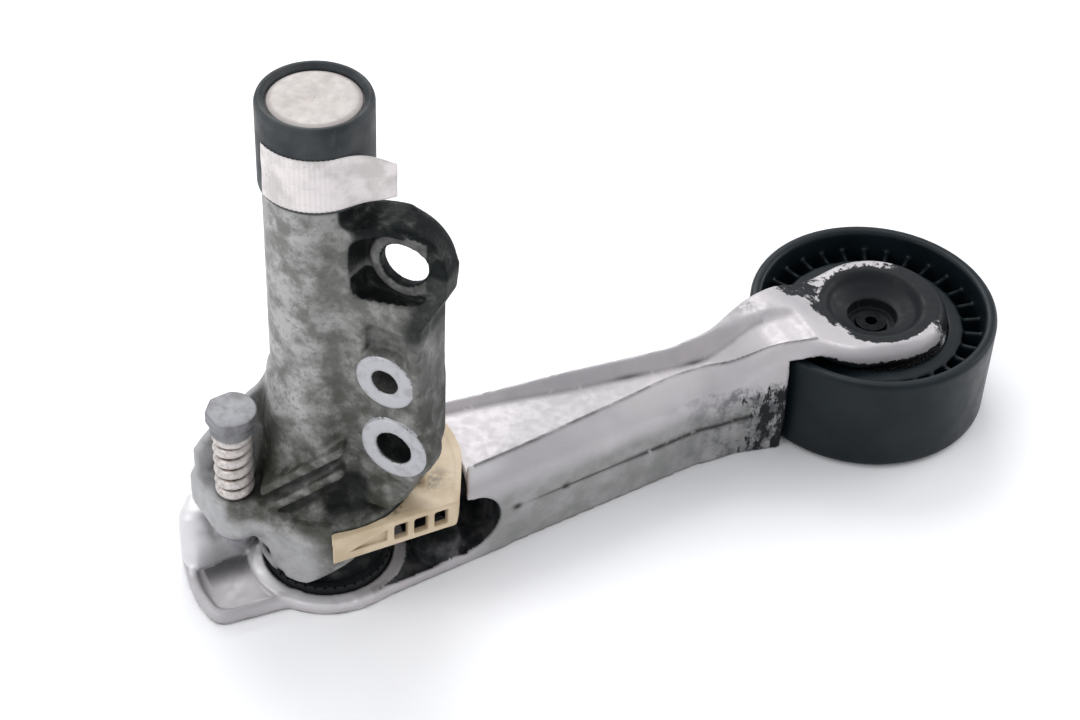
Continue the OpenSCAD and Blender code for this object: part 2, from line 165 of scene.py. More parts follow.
def pin(x, y, z, r, low, high, edge=0.3):
    return keep(circle(x, y, r), slab(z, low, high), edge)


def taper(x, y, x0, r0, x1, r1):
    """The hull of two circles on the x axis."""
    length = x1 - x0
    b = (r0 - r1) / length
    a = math.sqrt(1 - b * b)
    across, along = np.abs(y), x - x0
    k = a * along - b * across
    middle = across * a + along * b - r0
    k = along * a - across * b
    start = np.sqrt(across ** 2 + along ** 2) - r0
    end = np.sqrt(across ** 2 + (along - length) ** 2) - r1
    return np.where(k < 0, start, np.where(k > a * length, end, middle))


def outline(x, y, points):
    """Signed distance to a closed polygon."""
    best = None
    sign = 1.0
    for (ax, ay), (bx, by) in zip(points, points[1:] + points[:1]):
        ex, ey = bx - ax, by - ay
        wx, wy = x - ax, y - ay
        t = np.clip((wx * ex + wy * ey) / (ex * ex + ey * ey), 0, 1)
        d = (wx - ex * t) ** 2 + (wy - ey * t) ** 2
        best = d if best is None else np.minimum(best, d)
        above, below, left = y >= ay, y < by, ex * wy > ey * wx
        flip = (above & below & left) | (~above & ~below & ~left)
        sign = np.where(flip, -sign, sign)
    return sign * np.sqrt(best)


def wedge(x, y, start, end):
    """The part of the plane between two azimuths in degrees, less than 180 apart."""
    a, b = math.radians(start), math.radians(end)
    return np.maximum(x * math.sin(a) - y * math.cos(a), -x * math.sin(b) + y * math.cos(b))


def smooth_curve(v, places, values, reach=4.0):
    """A soft curve through given points, at every v."""
    total = 0
    for shift in (-1.0, -0.5, 0.0, 0.5, 1.0):
        total = total + np.interp(v + shift * reach, places, values)
    return (total / 5).astype(np.float32)


def bell(v, width):
    """1 at v = 0, and falling off to both sides."""
    return np.exp(-(v / width) ** 2)


def ramp(v, low, high):
    h = np.clip((v - low) / (high - low), 0, 1)
    return h * h * (3 - 2 * h)


CORNERS = [(0, 0, 0), (1, 0, 0), (0, 1, 0), (1, 1, 0), (0, 0, 1), (1, 0, 1), (0, 1, 1), (1, 1, 1)]
CELL_EDGES = [(a, b) for a in range(8) for b in range(a + 1, 8)
              if sum(p != q for p, q in zip(CORNERS[a], CORNERS[b])) == 1]


def surface(grid, field):
    """(vertices, quads) of the field's zero surface, one vertex for each cell that it crosses."""
    f = np.ascontiguousarray(np.broadcast_to(field, grid.shape)).astype(np.float32)
    cells = tuple(n - 1 for n in grid.shape)
    corner = [f[i:i + cells[0], j:j + cells[1], k:k + cells[2]] for i, j, k in CORNERS]
    inside = sum((c < 0).astype(np.int8) for c in corner)
    mixed = (inside > 0) & (inside < 8)
    index = np.full(cells, -1, np.int64)
    index[mixed] = np.arange(mixed.sum())
    base = np.argwhere(mixed).astype(np.float32)
    values = [c[mixed] for c in corner]
    total = np.zeros_like(base)
    count = np.zeros(len(base), np.float32)
    for a, b in CELL_EDGES:
        crossed = (values[a] < 0) != (values[b] < 0)
        gap = np.where(crossed, values[a] - values[b], 1)
        t = np.where(crossed, values[a] / gap, 0)[:, None]
        place = np.array(CORNERS[a]) * (1 - t) + np.array(CORNERS[b]) * t
        total += np.where(crossed[:, None], place, 0)
        count += crossed
    vertices = (base + total / count[:, None]) * grid.step + grid.low
    quads = []
    for axis in range(3):
        u, v = (axis + 1) % 3, (axis + 2) % 3
        first, second = [slice(None)] * 3, [slice(None)] * 3
        first[axis], second[axis] = slice(0, -1), slice(1, None)
        lower = f[tuple(first)] < 0
        change = lower != (f[tuple(second)] < 0)
        at = np.argwhere(change)
        at = at[(at[:, u] > 0) & (at[:, v] > 0) & (at[:, u] < cells[u]) & (at[:, v] < cells[v])]
        ring = []
        for du, dv in ((-1, -1), (0, -1), (0, 0), (-1, 0)):
            place = at.copy()
            place[:, u] += du
            place[:, v] += dv
            ring.append(index[place[:, 0], place[:, 1], place[:, 2]])
        ring = np.stack(ring, 1)
        outward = lower[at[:, 0], at[:, 1], at[:, 2]]
        ring[~outward] = ring[~outward][:, ::-1]
        quads.append(ring)
    return vertices, np.concatenate(quads)


# ---- Making pieces ----

def mesh_step(step):
    return step


def finish_piece(obj, body, look, node):
    """Gives the piece its material and body, and hides the CAD node that it replaces."""
    obj.data.materials.append(MATERIALS[look])
    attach(obj, body)
    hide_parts(node)


def joint(name):
    return next(j for j in frame["joints"] if j["name"] == name)


def moved(points, place):
    """The points, moved sideways to that place."""
    points[:, :2] += place[:2]
    return points


def mesh_piece(name, vertices, quads, masks=None):
    """A smooth-shaded object from arrays in millimetres, with named masks on its points."""
    mesh = bpy.data.meshes.new(name)
    mesh.vertices.add(len(vertices))
    mesh.vertices.foreach_set("co", (vertices * MM).astype(np.float32).ravel())
    mesh.loops.add(quads.size)
    mesh.loops.foreach_set("vertex_index", quads.astype(np.int32).ravel())
    mesh.polygons.add(len(quads))
    mesh.polygons.foreach_set("loop_start", np.arange(0, quads.size, 4, dtype=np.int32))
    mesh.update(calc_edges=True)
    mesh.polygons.foreach_set("use_smooth", np.ones(len(quads), bool))
    for key, values in (masks or {}).items():
        layer = mesh.attributes.new(key, "FLOAT", "POINT")
        layer.data.foreach_set("value", np.clip(values, 0, 1).astype(np.float32))
    obj = bpy.data.objects.new(name, mesh)
    bpy.context.scene.collection.objects.link(obj)
    return obj


def sheet_quads(rows, columns, closed):
    """Quads between rows of points. Columns wrap round, and so do the rows where closed."""
    quads = []
    for i in range(rows if closed else rows - 1):
        j = (i + 1) % rows
        for k in range(columns):
            m = (k + 1) % columns
            quads.append((i * columns + k, j * columns + k, j * columns + m, i * columns + m))
    return np.array(quads)


def lathe(name, profile, steps):
    """Turns an (r, z) outline in millimetres about a vertical axis."""
    rings = []
    for i in range(steps):
        a = 2 * math.pi * i / steps
        rings.append([(r * math.cos(a), r * math.sin(a), z) for r, z in profile])
    points = np.array(rings, float).reshape(-1, 3)
    return mesh_piece(name, points, sheet_quads(steps, len(profile), True))


def round_profile(points, radius, steps=4):
    """Rounds every corner of a closed (r, z) outline."""
    out = []
    count = len(points)
    for i in range(count):
        before, here, after = (np.array(points[(i + d) % count], float) for d in (-1, 0, 1))
        to_before, to_after = before - here, after - here
        lb, la = np.linalg.norm(to_before), np.linalg.norm(to_after)
        reach = min(radius, 0.45 * lb, 0.45 * la)
        start, end = here + to_before / lb * reach, here + to_after / la * reach
        for k in range(steps + 1):
            w = k / steps
            out.append(tuple((1 - w) ** 2 * start + 2 * w * (1 - w) * here + w * w * end))
    return out


# ---- Materials ----

class Shade:
    """A small helper that adds nodes to one material."""

    def __init__(self, name):
        self.material = bpy.data.materials.new(name)
        self.material.use_nodes = True
        self.tree = self.material.node_tree
        self.shader = next(n for n in self.tree.nodes if n.type == "BSDF_PRINCIPLED")
        self.place = self.add("TexCoord").outputs["Object"]

    def add(self, kind):
        return self.tree.nodes.new("ShaderNode" + kind)

    def put(self, value, socket):
        if isinstance(value, bpy.types.NodeSocket):
            self.tree.links.new(value, socket)
        elif hasattr(socket, "default_value") and not isinstance(value, (int, float)):
            needs_alpha = len(value) == 3 and len(socket.default_value) == 4
            socket.default_value = (*value, 1.0) if needs_alpha else value
        else:
            socket.default_value = value

    def math(self, kind, a, b=0.0):
        n = self.add("Math")
        n.operation = kind
        self.put(a, n.inputs[0])
        self.put(b, n.inputs[1])
        return n.outputs[0]

    def times(self, a, b):
        return self.math("MULTIPLY", a, b)

    def noise(self, size_mm, detail=4.0, rough=0.55, stretch=None, seed=0.0):
        """Noise from 0 to 1 whose features are about size_mm across."""
        vector = self.place
        if stretch or seed:
            m = self.add("Mapping")
            self.put(vector, m.inputs["Vector"])
            m.inputs["Location"].default_value = (seed, seed * 0.7, seed * 0.3)
            m.inputs["Scale"].default_value = stretch or (1, 1, 1)
            vector = m.outputs[0]
        n = self.add("TexNoise")
        self.put(vector, n.inputs["Vector"])
        n.inputs["Scale"].default_value = 1.0 / (size_mm * MM)
        n.inputs["Detail"].default_value = detail
        n.inputs["Roughness"].default_value = rough
        return n.outputs["Fac"]

    def range(self, value, low, high, to_low=0.0, to_high=1.0):
        n = self.add("MapRange")
        n.interpolation_type = "SMOOTHSTEP"
        self.put(value, n.inputs["Value"])
        ends = {"From Min": low, "From Max": high, "To Min": to_low, "To Max": to_high}
        for key, end in ends.items():
            n.inputs[key].default_value = end
        return n.outputs[0]

    def patches(self, size_mm, detail, low, high, to_low=0.0, to_high=1.0, **noise):
        """Noise whose values from low to high are spread over the given range."""
        return self.range(self.noise(size_mm, detail, **noise), low, high, to_low, to_high)

    def mask(self, key):
        n = self.add("Attribute")
        n.attribute_name = key
        return n.outputs["Fac"]

    def broken(self, key, *values, **noise):
        """A mask broken up by patches."""
        return self.times(self.mask(key), self.patches(*values, **noise))

    def crevice(self, reach_mm):
        """Ambient occlusion: 1 in the open and 0 deep in a corner. The materials use it to paint shade into
        corners.
        """
        n = self.add("AmbientOcclusion")
        n.samples = 6
        n.inputs["Distance"].default_value = reach_mm * MM
        return n.outputs["AO"]

    def mix(self, factor, a, b):
        n = self.add("Mix")
        n.data_type = "RGBA"
        self.put(factor, n.inputs["Factor"])
        self.put(a, n.inputs["A"])
        self.put(b, n.inputs["B"])
        return n.outputs["Result"]

    def over(self, amount, colour):
        """Lays a colour over the colour so far."""
        self.colour = self.mix(amount, self.colour, colour)

    def bump(self, height, depth_mm, strength=1.0):
        n = self.add("Bump")
        self.put(height, n.inputs["Height"])
        n.inputs["Distance"].default_value = depth_mm * MM
        n.inputs["Strength"].default_value = strength
        self.tree.links.new(n.outputs[0], self.shader.inputs["Normal"])

    def set(self, **values):
        """Sets the shader's inputs, with the colour so far as its base colour."""
        self.put(self.colour, self.shader.inputs["Base Color"])
        for key, value in values.items():
            self.put(value, self.shader.inputs[key.replace("_", " ")])
        return self.material


def srgb(r, g, b):
    """Linear colour of an 8-bit screen colour."""
    def one(c):
        c /= 255
        return c / 12.92 if c <= 0.04045 else ((c + 0.055) / 1.055) ** 2.4
    return one(r), one(g), one(b)


def arm_alloy():
    """Satin die-cast aluminium with dirty seams, worn black paint at the pulley, painted shade in its recesses and
    painted highlights on its lit faces.
    """
    m = Shade("arm_alloy")
    cloud = m.noise(26, 3)
    grain = m.noise(0.9, 6, 0.6)
    streak = m.noise(3.0, 5, 0.6, stretch=(1, 1, 0.25), seed=0.4)
    m.colour = m.mix(m.range(cloud, 0.35, 0.65), srgb(174, 171, 173), srgb(190, 186, 188))
    m.over(m.range(streak, 0.6, 0.85, 0, 0.25), srgb(160, 160, 158))
    warm = m.patches(9, 4, 0.55, 0.8, 0, 0.25, seed=0.9)
    m.over(warm, srgb(190, 184, 174))
    # Painted shade: the lower part of the arm's near side wall, which faces away from the light, is darkened.
    wall = m.broken("wall", 7, 5, 0.3, 0.7, 0.45, 1.0, seed=0.2)
    m.over(wall, srgb(134, 135, 132))
    # Painted highlight on the stop lug, the edge of the hub's ring and the top of the arm near the hub.
    m.over(m.times(m.mask("painted_highlight"), 0.8), srgb(224, 223, 224))
    # Rubber dust stains near the pulley and the eye, and painted shade along the lowest millimetre, where the arm
    # meets the floor.
    smudge = m.broken("stain_and_shade", 4.5, 6, 0.42, 0.62, rough=0.65, seed=0.3)
    m.over(smudge, srgb(66, 70, 74))
    seam = m.broken("seam", 3.4, 6, 0.36, 0.44, rough=0.7, seed=1.7)
    m.over(seam, srgb(34, 30, 28))
    # Dark line along the near ridge: partly a painted shadow where the ridge hides the channel floor, partly a
    # dirty corner.
    line = m.broken("line", 8, 4, 0.3, 0.6, 0.45, 0.95, seed=5.0)
    m.over(line, srgb(58, 56, 58))
    # Ambient occlusion darkens the corners: painted shade, broken up by dirty patches.
    corner = m.range(m.crevice(2.6), 0.35, 0.8, 1, 0)
    dirt_and_shade = m.times(corner, m.patches(5, 5, 0.35, 0.6, 0.25, 1, rough=0.6, seed=2.1))
    m.over(m.times(dirt_and_shade, 0.85), srgb(96, 92, 84))
    # Painted shade: near black in the side pocket, the hub's cup, behind the lip and across the tray.
    grime_and_shade = m.broken("grime_and_shade", 6, 5, 0.2, 0.6, 0.8, 1, rough=0.6, seed=3.1)
    m.over(grime_and_shade, srgb(24, 28, 30))
    edge = m.noise(2.0, 8, 0.78, stretch=(1, 1, 0.4), seed=0.6)
    worn = m.math("ADD", m.mask("paint"), m.times(m.math("SUBTRACT", edge, 0.5), 1.9))
    paint = m.range(worn, 0.45, 0.56)
    m.over(paint, srgb(25, 28, 31))
    dark = m.math("MAXIMUM", paint, grime_and_shade)
    m.set(Metallic=m.range(dark, 0, 1, 0.4, 0.0),
          Specular_IOR_Level=m.range(dark, 0, 1, 0.5, 0.16),
          Roughness=m.patches(2.2, 5, 0.3, 0.7, 0.42, 0.58, seed=0.8))
    m.bump(m.math("ADD", grain, m.times(m.noise(7, 3, seed=1.1), 1.4)), 0.10, 0.6)
    return m.material


def housing_alloy():
    """Mottled sand-cast aluminium, oily and grimy near the lug and the flange, with painted shade in its hollows
    and on its right side and painted light on its left side.
    """
    m = Shade("housing_alloy")
    mottle = m.noise(5.5, 5, 0.6)
    fine = m.noise(1.4, 6, 0.65, seed=0.5)
    m.colour = m.mix(m.range(mottle, 0.36, 0.62), srgb(112, 113, 109), srgb(174, 173, 171))
    m.over(m.range(fine, 0.48, 0.7, 0, 0.55), srgb(84, 85, 80))
    # Oily patches near the flange, and painted shade darkening the housing's right side, away from the light.
    oil_and_shade = m.broken("oil_and_shade", 6, 6, 0.3, 0.62, 0.35, 1, rough=0.6, seed=1.3)
    m.over(oil_and_shade, srgb(60, 61, 53))
    # Painted light on the housing's left side, towards the light; the foot of the front wall is paler too.
    pale_and_lit = m.broken("pale_and_lit", 4, 5, 0.25, 0.6, 0.5, 1, seed=4.0)
    m.over(pale_and_lit, srgb(168, 168, 169))
    # Painted shade, partly oily: the lug's top and right side, its hollows, the bores, the spigot and the notches
    # are darkened.
    grime_and_shade = m.broken("grime_and_shade", 3.5, 6, 0.25, 0.55, 0.75, 1, rough=0.6, seed=2.3)
    m.over(grime_and_shade, srgb(20, 24, 24))
    # Painted shade: ambient occlusion darkens the corners.
    corner = m.range(m.crevice(5), 0.3, 0.75, 1, 0)
    m.over(m.times(corner, 0.8), srgb(40, 43, 38))
    m.set(Metallic=0.3, Roughness=m.range(mottle, 0.3, 0.7, 0.42, 0.66),
          Specular_IOR_Level=m.range(grime_and_shade, 0, 1, 0.4, 0.12))
    m.bump(m.math("ADD", m.times(mottle, 1.6), fine), 0.28, 0.8)
    return m.material


def machined_alloy():
    """Turned faces of the bolt bosses, with fine rings."""
    m = Shade("machined_alloy")
    fine = m.noise(0.5, 4, stretch=(1, 0.2, 1))
    spots = m.patches(3, 5, 0.5, 0.7, 0, 0.5, seed=1.0)
    m.colour = m.mix(spots, srgb(180, 180, 184), srgb(140, 139, 138))
    m.set(Metallic=0.4, Roughness=m.range(fine, 0.3, 0.7, 0.4, 0.55))
    m.bump(fine, 0.05, 0.4)
    return m.material


def plastic(name, colour, light, rough=(0.36, 0.5), grain_mm=0.35, depth=0.04, dust=0.25):
    """Moulded plastic with a fine grain, a few scuffs and a little dust."""
    m = Shade(name)
    grain = m.noise(grain_mm, 4)
    scuff = m.patches(2.4, 7, 0.56, 0.72, 0, dust, rough=0.7, stretch=(1, 1, 0.3), seed=0.7)
    m.colour = m.mix(m.patches(14, 3, 0.35, 0.65, 0, 0.35, seed=0.2), colour, light)
    m.over(scuff, light)
    m.set(Roughness=m.patches(5, 5, 0.3, 0.7, *rough, seed=1.9),
          Specular_IOR_Level=0.2)
    m.bump(grain, depth, 0.5)
    return m.material


def metal(name, colour, dark, rough=(0.25, 0.42), metallic=0.85, rust=None, size_mm=2.0):
    """Worn plated or bare metal with painted shade in its corners; where a rust colour is given, the corners get
    rust with the painted shade.
    """
    m = Shade(name)
    m.colour = m.mix(m.patches(size_mm, 6, 0.4, 0.7, rough=0.6), colour, dark)
    # Painted shade: ambient occlusion darkens the corners, in the rust colour where one is given.
    corner = m.range(m.crevice(1.8), 0.3, 0.8, 1, 0)
    if rust:
        patch = m.times(corner, m.patches(1.6, 5, 0.3, 0.6, 0.5, 1, seed=0.9))
        m.over(patch, rust)
    else:
        m.over(m.times(corner, 0.5), dark)
    fine = m.noise(0.4, 4, stretch=(1, 1, 4))
    m.set(Metallic=metallic, Roughness=m.range(fine, 0.3, 0.7, *rough))
    m.bump(fine, 0.03, 0.4)
    return m.material


def shield_plastic():
    """Aged cream plastic, oily near the flange, with the flange's painted shadow along its inner edge and painted
    shade in its corners.
    """
    m = Shade("shield_plastic")
    m.colour = m.mix(m.patches(10, 4, 0.35, 0.65), srgb(206, 188, 160), srgb(190, 170, 140))
    # Painted shadow of the flange along the inner edge, with oily soiling near it.
    grime_and_shade = m.broken("grime_and_shade", 4, 6, 0.4, 0.6, rough=0.65, seed=0.6)
    m.over(m.times(grime_and_shade, 0.9), srgb(70, 64, 50))
    # Painted shade: ambient occlusion darkens the corners.
    corner = m.range(m.crevice(2.5), 0.25, 0.75, 1, 0)
    m.over(m.times(corner, 0.75), srgb(92, 74, 46))
    m.set(Roughness=m.patches(3, 4, 0.3, 0.7, 0.42, 0.58, seed=1.4))
    m.bump(m.noise(0.6, 4), 0.05, 0.5)
    return m.material


def label_paper():
    """Blank coated paper, creased and a little dirty."""
    m = Shade("label_paper")
    m.colour = m.mix(m.patches(7, 5, 0.42, 0.66, rough=0.6), srgb(228, 221, 219), srgb(198, 193, 190))
    smudge = m.patches(2.2, 7, 0.56, 0.7, 0, 0.4, rough=0.7, stretch=(1, 1, 2.5), seed=1.2)
    m.over(smudge, srgb(150, 146, 144))
    m.set(Roughness=m.patches(4, 4, 0.3, 0.7, 0.4, 0.6, seed=0.3))
    m.bump(m.noise(3.5, 4, seed=2.0), 0.25, 0.6)
    return m.material


def plug_alloy():
    """Light warm-grey pressed disc, speckled, with painted shade at its edge."""
    m = Shade("plug_alloy")
    m.colour = m.mix(m.patches(6, 5, 0.35, 0.65), srgb(186, 180, 176), srgb(172, 165, 161))
    specks = m.patches(0.9, 3, 0.68, 0.74, 0, 0.7, rough=0.5, seed=0.5)
    m.over(specks, srgb(128, 116, 112))
    # Painted shade: ambient occlusion darkens the disc next to the sleeve.
    edge = m.range(m.crevice(2.0), 0.3, 0.9, 1, 0)
    m.over(m.times(edge, 0.5), srgb(140, 134, 130))
    m.set(Metallic=0.2, Roughness=m.patches(2, 5, 0.3, 0.7, 0.5, 0.7, seed=1.5))
    m.bump(m.noise(0.5, 5), 0.05, 0.6)
    return m.material


def floor_paint():
    m = Shade("floor")
    m.colour = m.mix(m.patches(60, 2, 0.3, 0.7), (0.93, 0.93, 0.94), (0.95, 0.95, 0.955))
    m.set(Roughness=0.6)
    return m.material


MATERIALS = {
    "arm": arm_alloy(),
    "housing": housing_alloy(),
    "machined": machined_alloy(),
    "sleeve": plastic("sleeve_plastic", srgb(42, 46, 48), srgb(92, 94, 94), (0.42, 0.6),
                      0.5, 0.05, 0.3),
    "pulley": plastic("pulley_plastic", srgb(13, 21, 25), srgb(30, 40, 45), (0.32, 0.44),
                      0.3, 0.03, 0.15),
    "black": plastic("black_plastic", srgb(30, 32, 34), srgb(54, 56, 58), (0.4, 0.6)),
    "rubber": plastic("seal_rubber", srgb(22, 23, 24), srgb(44, 45, 46), (0.55, 0.75), 0.5, 0.05),
    "shield": shield_plastic(),
    "label": label_paper(),
    "plug": plug_alloy(),
    "pin": metal("pin_steel", srgb(134, 135, 138), srgb(108, 107, 108), (0.42, 0.6), 0.55, size_mm=4.0),
    "spring": metal("spring_wire", srgb(206, 200, 196), srgb(168, 160, 154), (0.35, 0.5), 0.4,
                    srgb(84, 50, 24), 1.2),
    "steel": metal("bearing_steel", srgb(190, 190, 194), srgb(120, 120, 124), (0.15, 0.3), 0.95),
    "bronze": metal("sintered_bronze", srgb(176, 140, 84), srgb(110, 84, 50), (0.4, 0.6), 0.8),
    "bolt": metal("phosphated_steel", srgb(26, 27, 29), srgb(12, 13, 14), (0.4, 0.6), 0.95),
}


# ---- Arm ----

def arm_outline(s, t):
    body = taper(s, t, 0, HUB_R, WAIST_S, WAIST_R)
    tongue = taper(s, t, WAIST_S + 4, WAIST_R, ARM_L + 1, EYE_R)
    return join(body, tongue, 5)


def arm_top(s):
    """Height of the two ridges along the arm: it climbs over the pulley's rim, then dips to the eye."""
    return smooth_curve(s, [0, 104, 108, 113, 119, 124, 131, 138, 143, 180],
                        [29, 29, 29.3, 31, 34, 35, 34.4, 31, 29.3, 29.3], 2.5)


def near_crest(s):
    return smooth_curve(s, [20, 33, 48, 63, 80, 91, 101, 106, 112, 118, 124, 130],
                        [-11.8, -10.7, -9.0, -6.9, -4.6, -2.7, -2.2, -2.8, -5.2, -6.9, -9.2, -10.0])


def far_foot(s):
    return smooth_curve(s, [20, 40, 55, 69, 86, 98, 107, 112, 118, 127],
                        [15, 12.9, 11, 8.4, 6.5, 4.8, 4.3, 3.1, 2.4, 1.4])


def channel_floor(s):
    return smooth_curve(s, [0, 106, 110, 118, 122, 180], [22.5, 22.5, 24, 31, 33, 33.2], 2.5)


def arm_beam(g):
    """Walls, ridges and tongue, with the channel between the ridges."""
    s, t, z = g.x, g.y, g.z
    plan = arm_outline(s, t)
    plan = plan + 0.03 * np.abs(z - 12)
    # the near ridge, up to the tongue, has the wider bevel
    near = ramp(-t, -3, 3) * (1 - ramp(s, 104, 120))
    fall = near * 5.2 + (1 - near) * 2.4
    run = near * 6.2 + (1 - near) * 2.6
    top = arm_top(s) - fall * np.clip(1 + plan / run, 0, 1) ** 1.3
    beam = keep(plan, (z - top) * 0.8, 2.2)
    beam = np.maximum(beam, -z)
    # channel: steep near side, sloping far side, closed round end on the tongue
    rise = 1.25
    far = ((t - far_foot(s)) * rise - (z - channel_floor(s))) / math.hypot(rise, 1)
    trough = keep(near_crest(s) - t, far, 1.0)
    trough = keep(trough, channel_floor(s) - z, 1.2)
    trough = keep(trough, s - 131.5, 3.5)
    return cut(beam, trough, 0.9)


def pulley_room(g):
    """Space that the arm leaves round the pulley's rim and under the tongue."""
    r = np.sqrt((g.x - ARM_L) ** 2 + g.y ** 2)
    profile = [(0, -3), (PULLEY_R + 2, -3), (PULLEY_R + 2, 30.2), (28, 30.2), (21.5, 24.4), (0, 24.4)]
    return outline(r, g.z, profile)


def arm_tab(g):
    """Flat tray on the far side of the hub, with a raised rim and the curved stop lug."""
    s, t, z = g.x, g.y, g.z
    edge = [(-8, 19), (-40, 16.5), (-40, -9), (-33, -11.2), (-14, -12.6), (0, -8), (0, 10)]
    plan = keep(circle(s, t, TAB_R), outline(s, t, edge), 3.0)
    tray = keep(plan, slab(z, 0, 1.7), 0.6)
    rim = keep(np.abs(plan + 1.2) - 1.2, slab(z, 0, 3.4), 1.6)
    tab = join(tray, rim, 1.0)
    r = np.sqrt(s * s + t * t)
    arc = keep(slab(r, 30.4, TAB_R), wedge(s, t, 147, 163), 2.0)
    outer = join(arc, circle(s + 30.0, t - 10.6, 3.8), 3.0)
    outer = keep(outer, slab(z, 0, 19.2), 4.5)
    wall = keep(slab(s, -31, -18.3), slab(t, 7.0, 11.4), 1.8)
    lug = join(outer, keep(wall, slab(z, 0, 10.3), 2.4), 3.5)
    return join(tab, lug, 1.5)


def lock_place():
    """Where the locking pin comes down on the arm once the arm has swung to its stop."""
    turn = math.radians(max(joint("arm_swing")["range_deg"])) + ARM_ANGLE
    c, n = math.cos(-turn), math.sin(-turn)
    return PIN_AT[0] * c - PIN_AT[1] * n, PIN_AT[0] * n + PIN_AT[1] * c


def arm_field(g):
    s, t, z = g.x, g.y, g.z
    beam = cut(arm_beam(g), pulley_room(g), 0.8)
    hub = circle(s, t, HUB_R)
    # room for the base of the housing, then the deck that its flange turns over
    beam = cut(beam, keep(hub, 3 - z, 0.3), 0.8)
    beam = cut(beam, keep(circle(s, t, 34), 20.5 - z, 0.6), 0.8)
    # open underside between the cross ribs
    inner = arm_outline(s, t) + 3.6
    for start, end in ((47, 63.4), (67.2, 83.4), (87.2, 103)):
        cell = keep(keep(inner, slab(s, start, end), 2.5), z - 17, 1.5)
        beam = cut(beam, cell, 0.6)
    # side pocket next to the hub, with a round end
    end = circle(s - POCKET_AT[0], z - POCKET_AT[1], POCKET_R)
    side = join(end, np.maximum(slab(z, 1.7, 21.3), slab(s, -6, POCKET_AT[0])), 1.0)
    pocket = keep(keep(side, t - 2, 4.0), -circle(s, t, HUB_R - 3), 0.5)
    beam = cut(beam, pocket, 0.8)
    lip = keep(np.abs(arm_outline(s, t) + 0.75) - 0.75, slab(z, 0, 3.0), 0.9)
    lip = np.maximum(lip, np.maximum(np.maximum(-s, s - 42), t))
    beam = join(beam, lip, 0.5)
    beam = join(beam, pin(s - 25, t + 9.5, z, 6.2, 0, 7.4, 2.0), 1.8)
    # tab, hub ring and cup
    tab = arm_tab(g)
    ring = keep(hub, slab(z, 0, 3.0), 1.0)
    body = join(join(beam, tab, 0.8), ring, 1.6)
    body = cut(body, keep(circle(s, t, 16.0), 2 - z, 0.2), 0.5)
    body = np.minimum(body, pin(s, t, z, 12, 0, 6, 0.3))
    lock = lock_place()
    body = join(body, pin(s - lock[0], t - lock[1], z, 5.2, 0, 10.2, 0.8), 1.0)
    body = cut(body, pin(s - lock[0], t - lock[1], z, 3.3, 4, 14, 0.1), 0.4)
    # eye: boss under it, the dish and the bolt's hole
    es = s - ARM_L
    body = join(body, pin(es, t, z, 11.8, 20.9, 26, 0.2), 0.6)
    body = np.minimum(body, pin(es, t, z, 8.48, 9.6, 24, 0.3))
    r = np.sqrt(es * es + t * t)
    dish = outline(r, z, [(0, 22), (6.5, 22), (6.5, 25), (8.4, 25.7), (11.2, 27.2), (12.6, 29.0),
                          (14.2, 32), (0, 32)])
    body = cut(body, dish, 0.7)
    body = np.maximum(body, -pin(es, t, z, 4.02, -1, 40, 0.05))
    body = np.maximum(body, -pin(s, t, z, 8.02, 1.5, 40, 0.05))
    return np.maximum(body, -z)


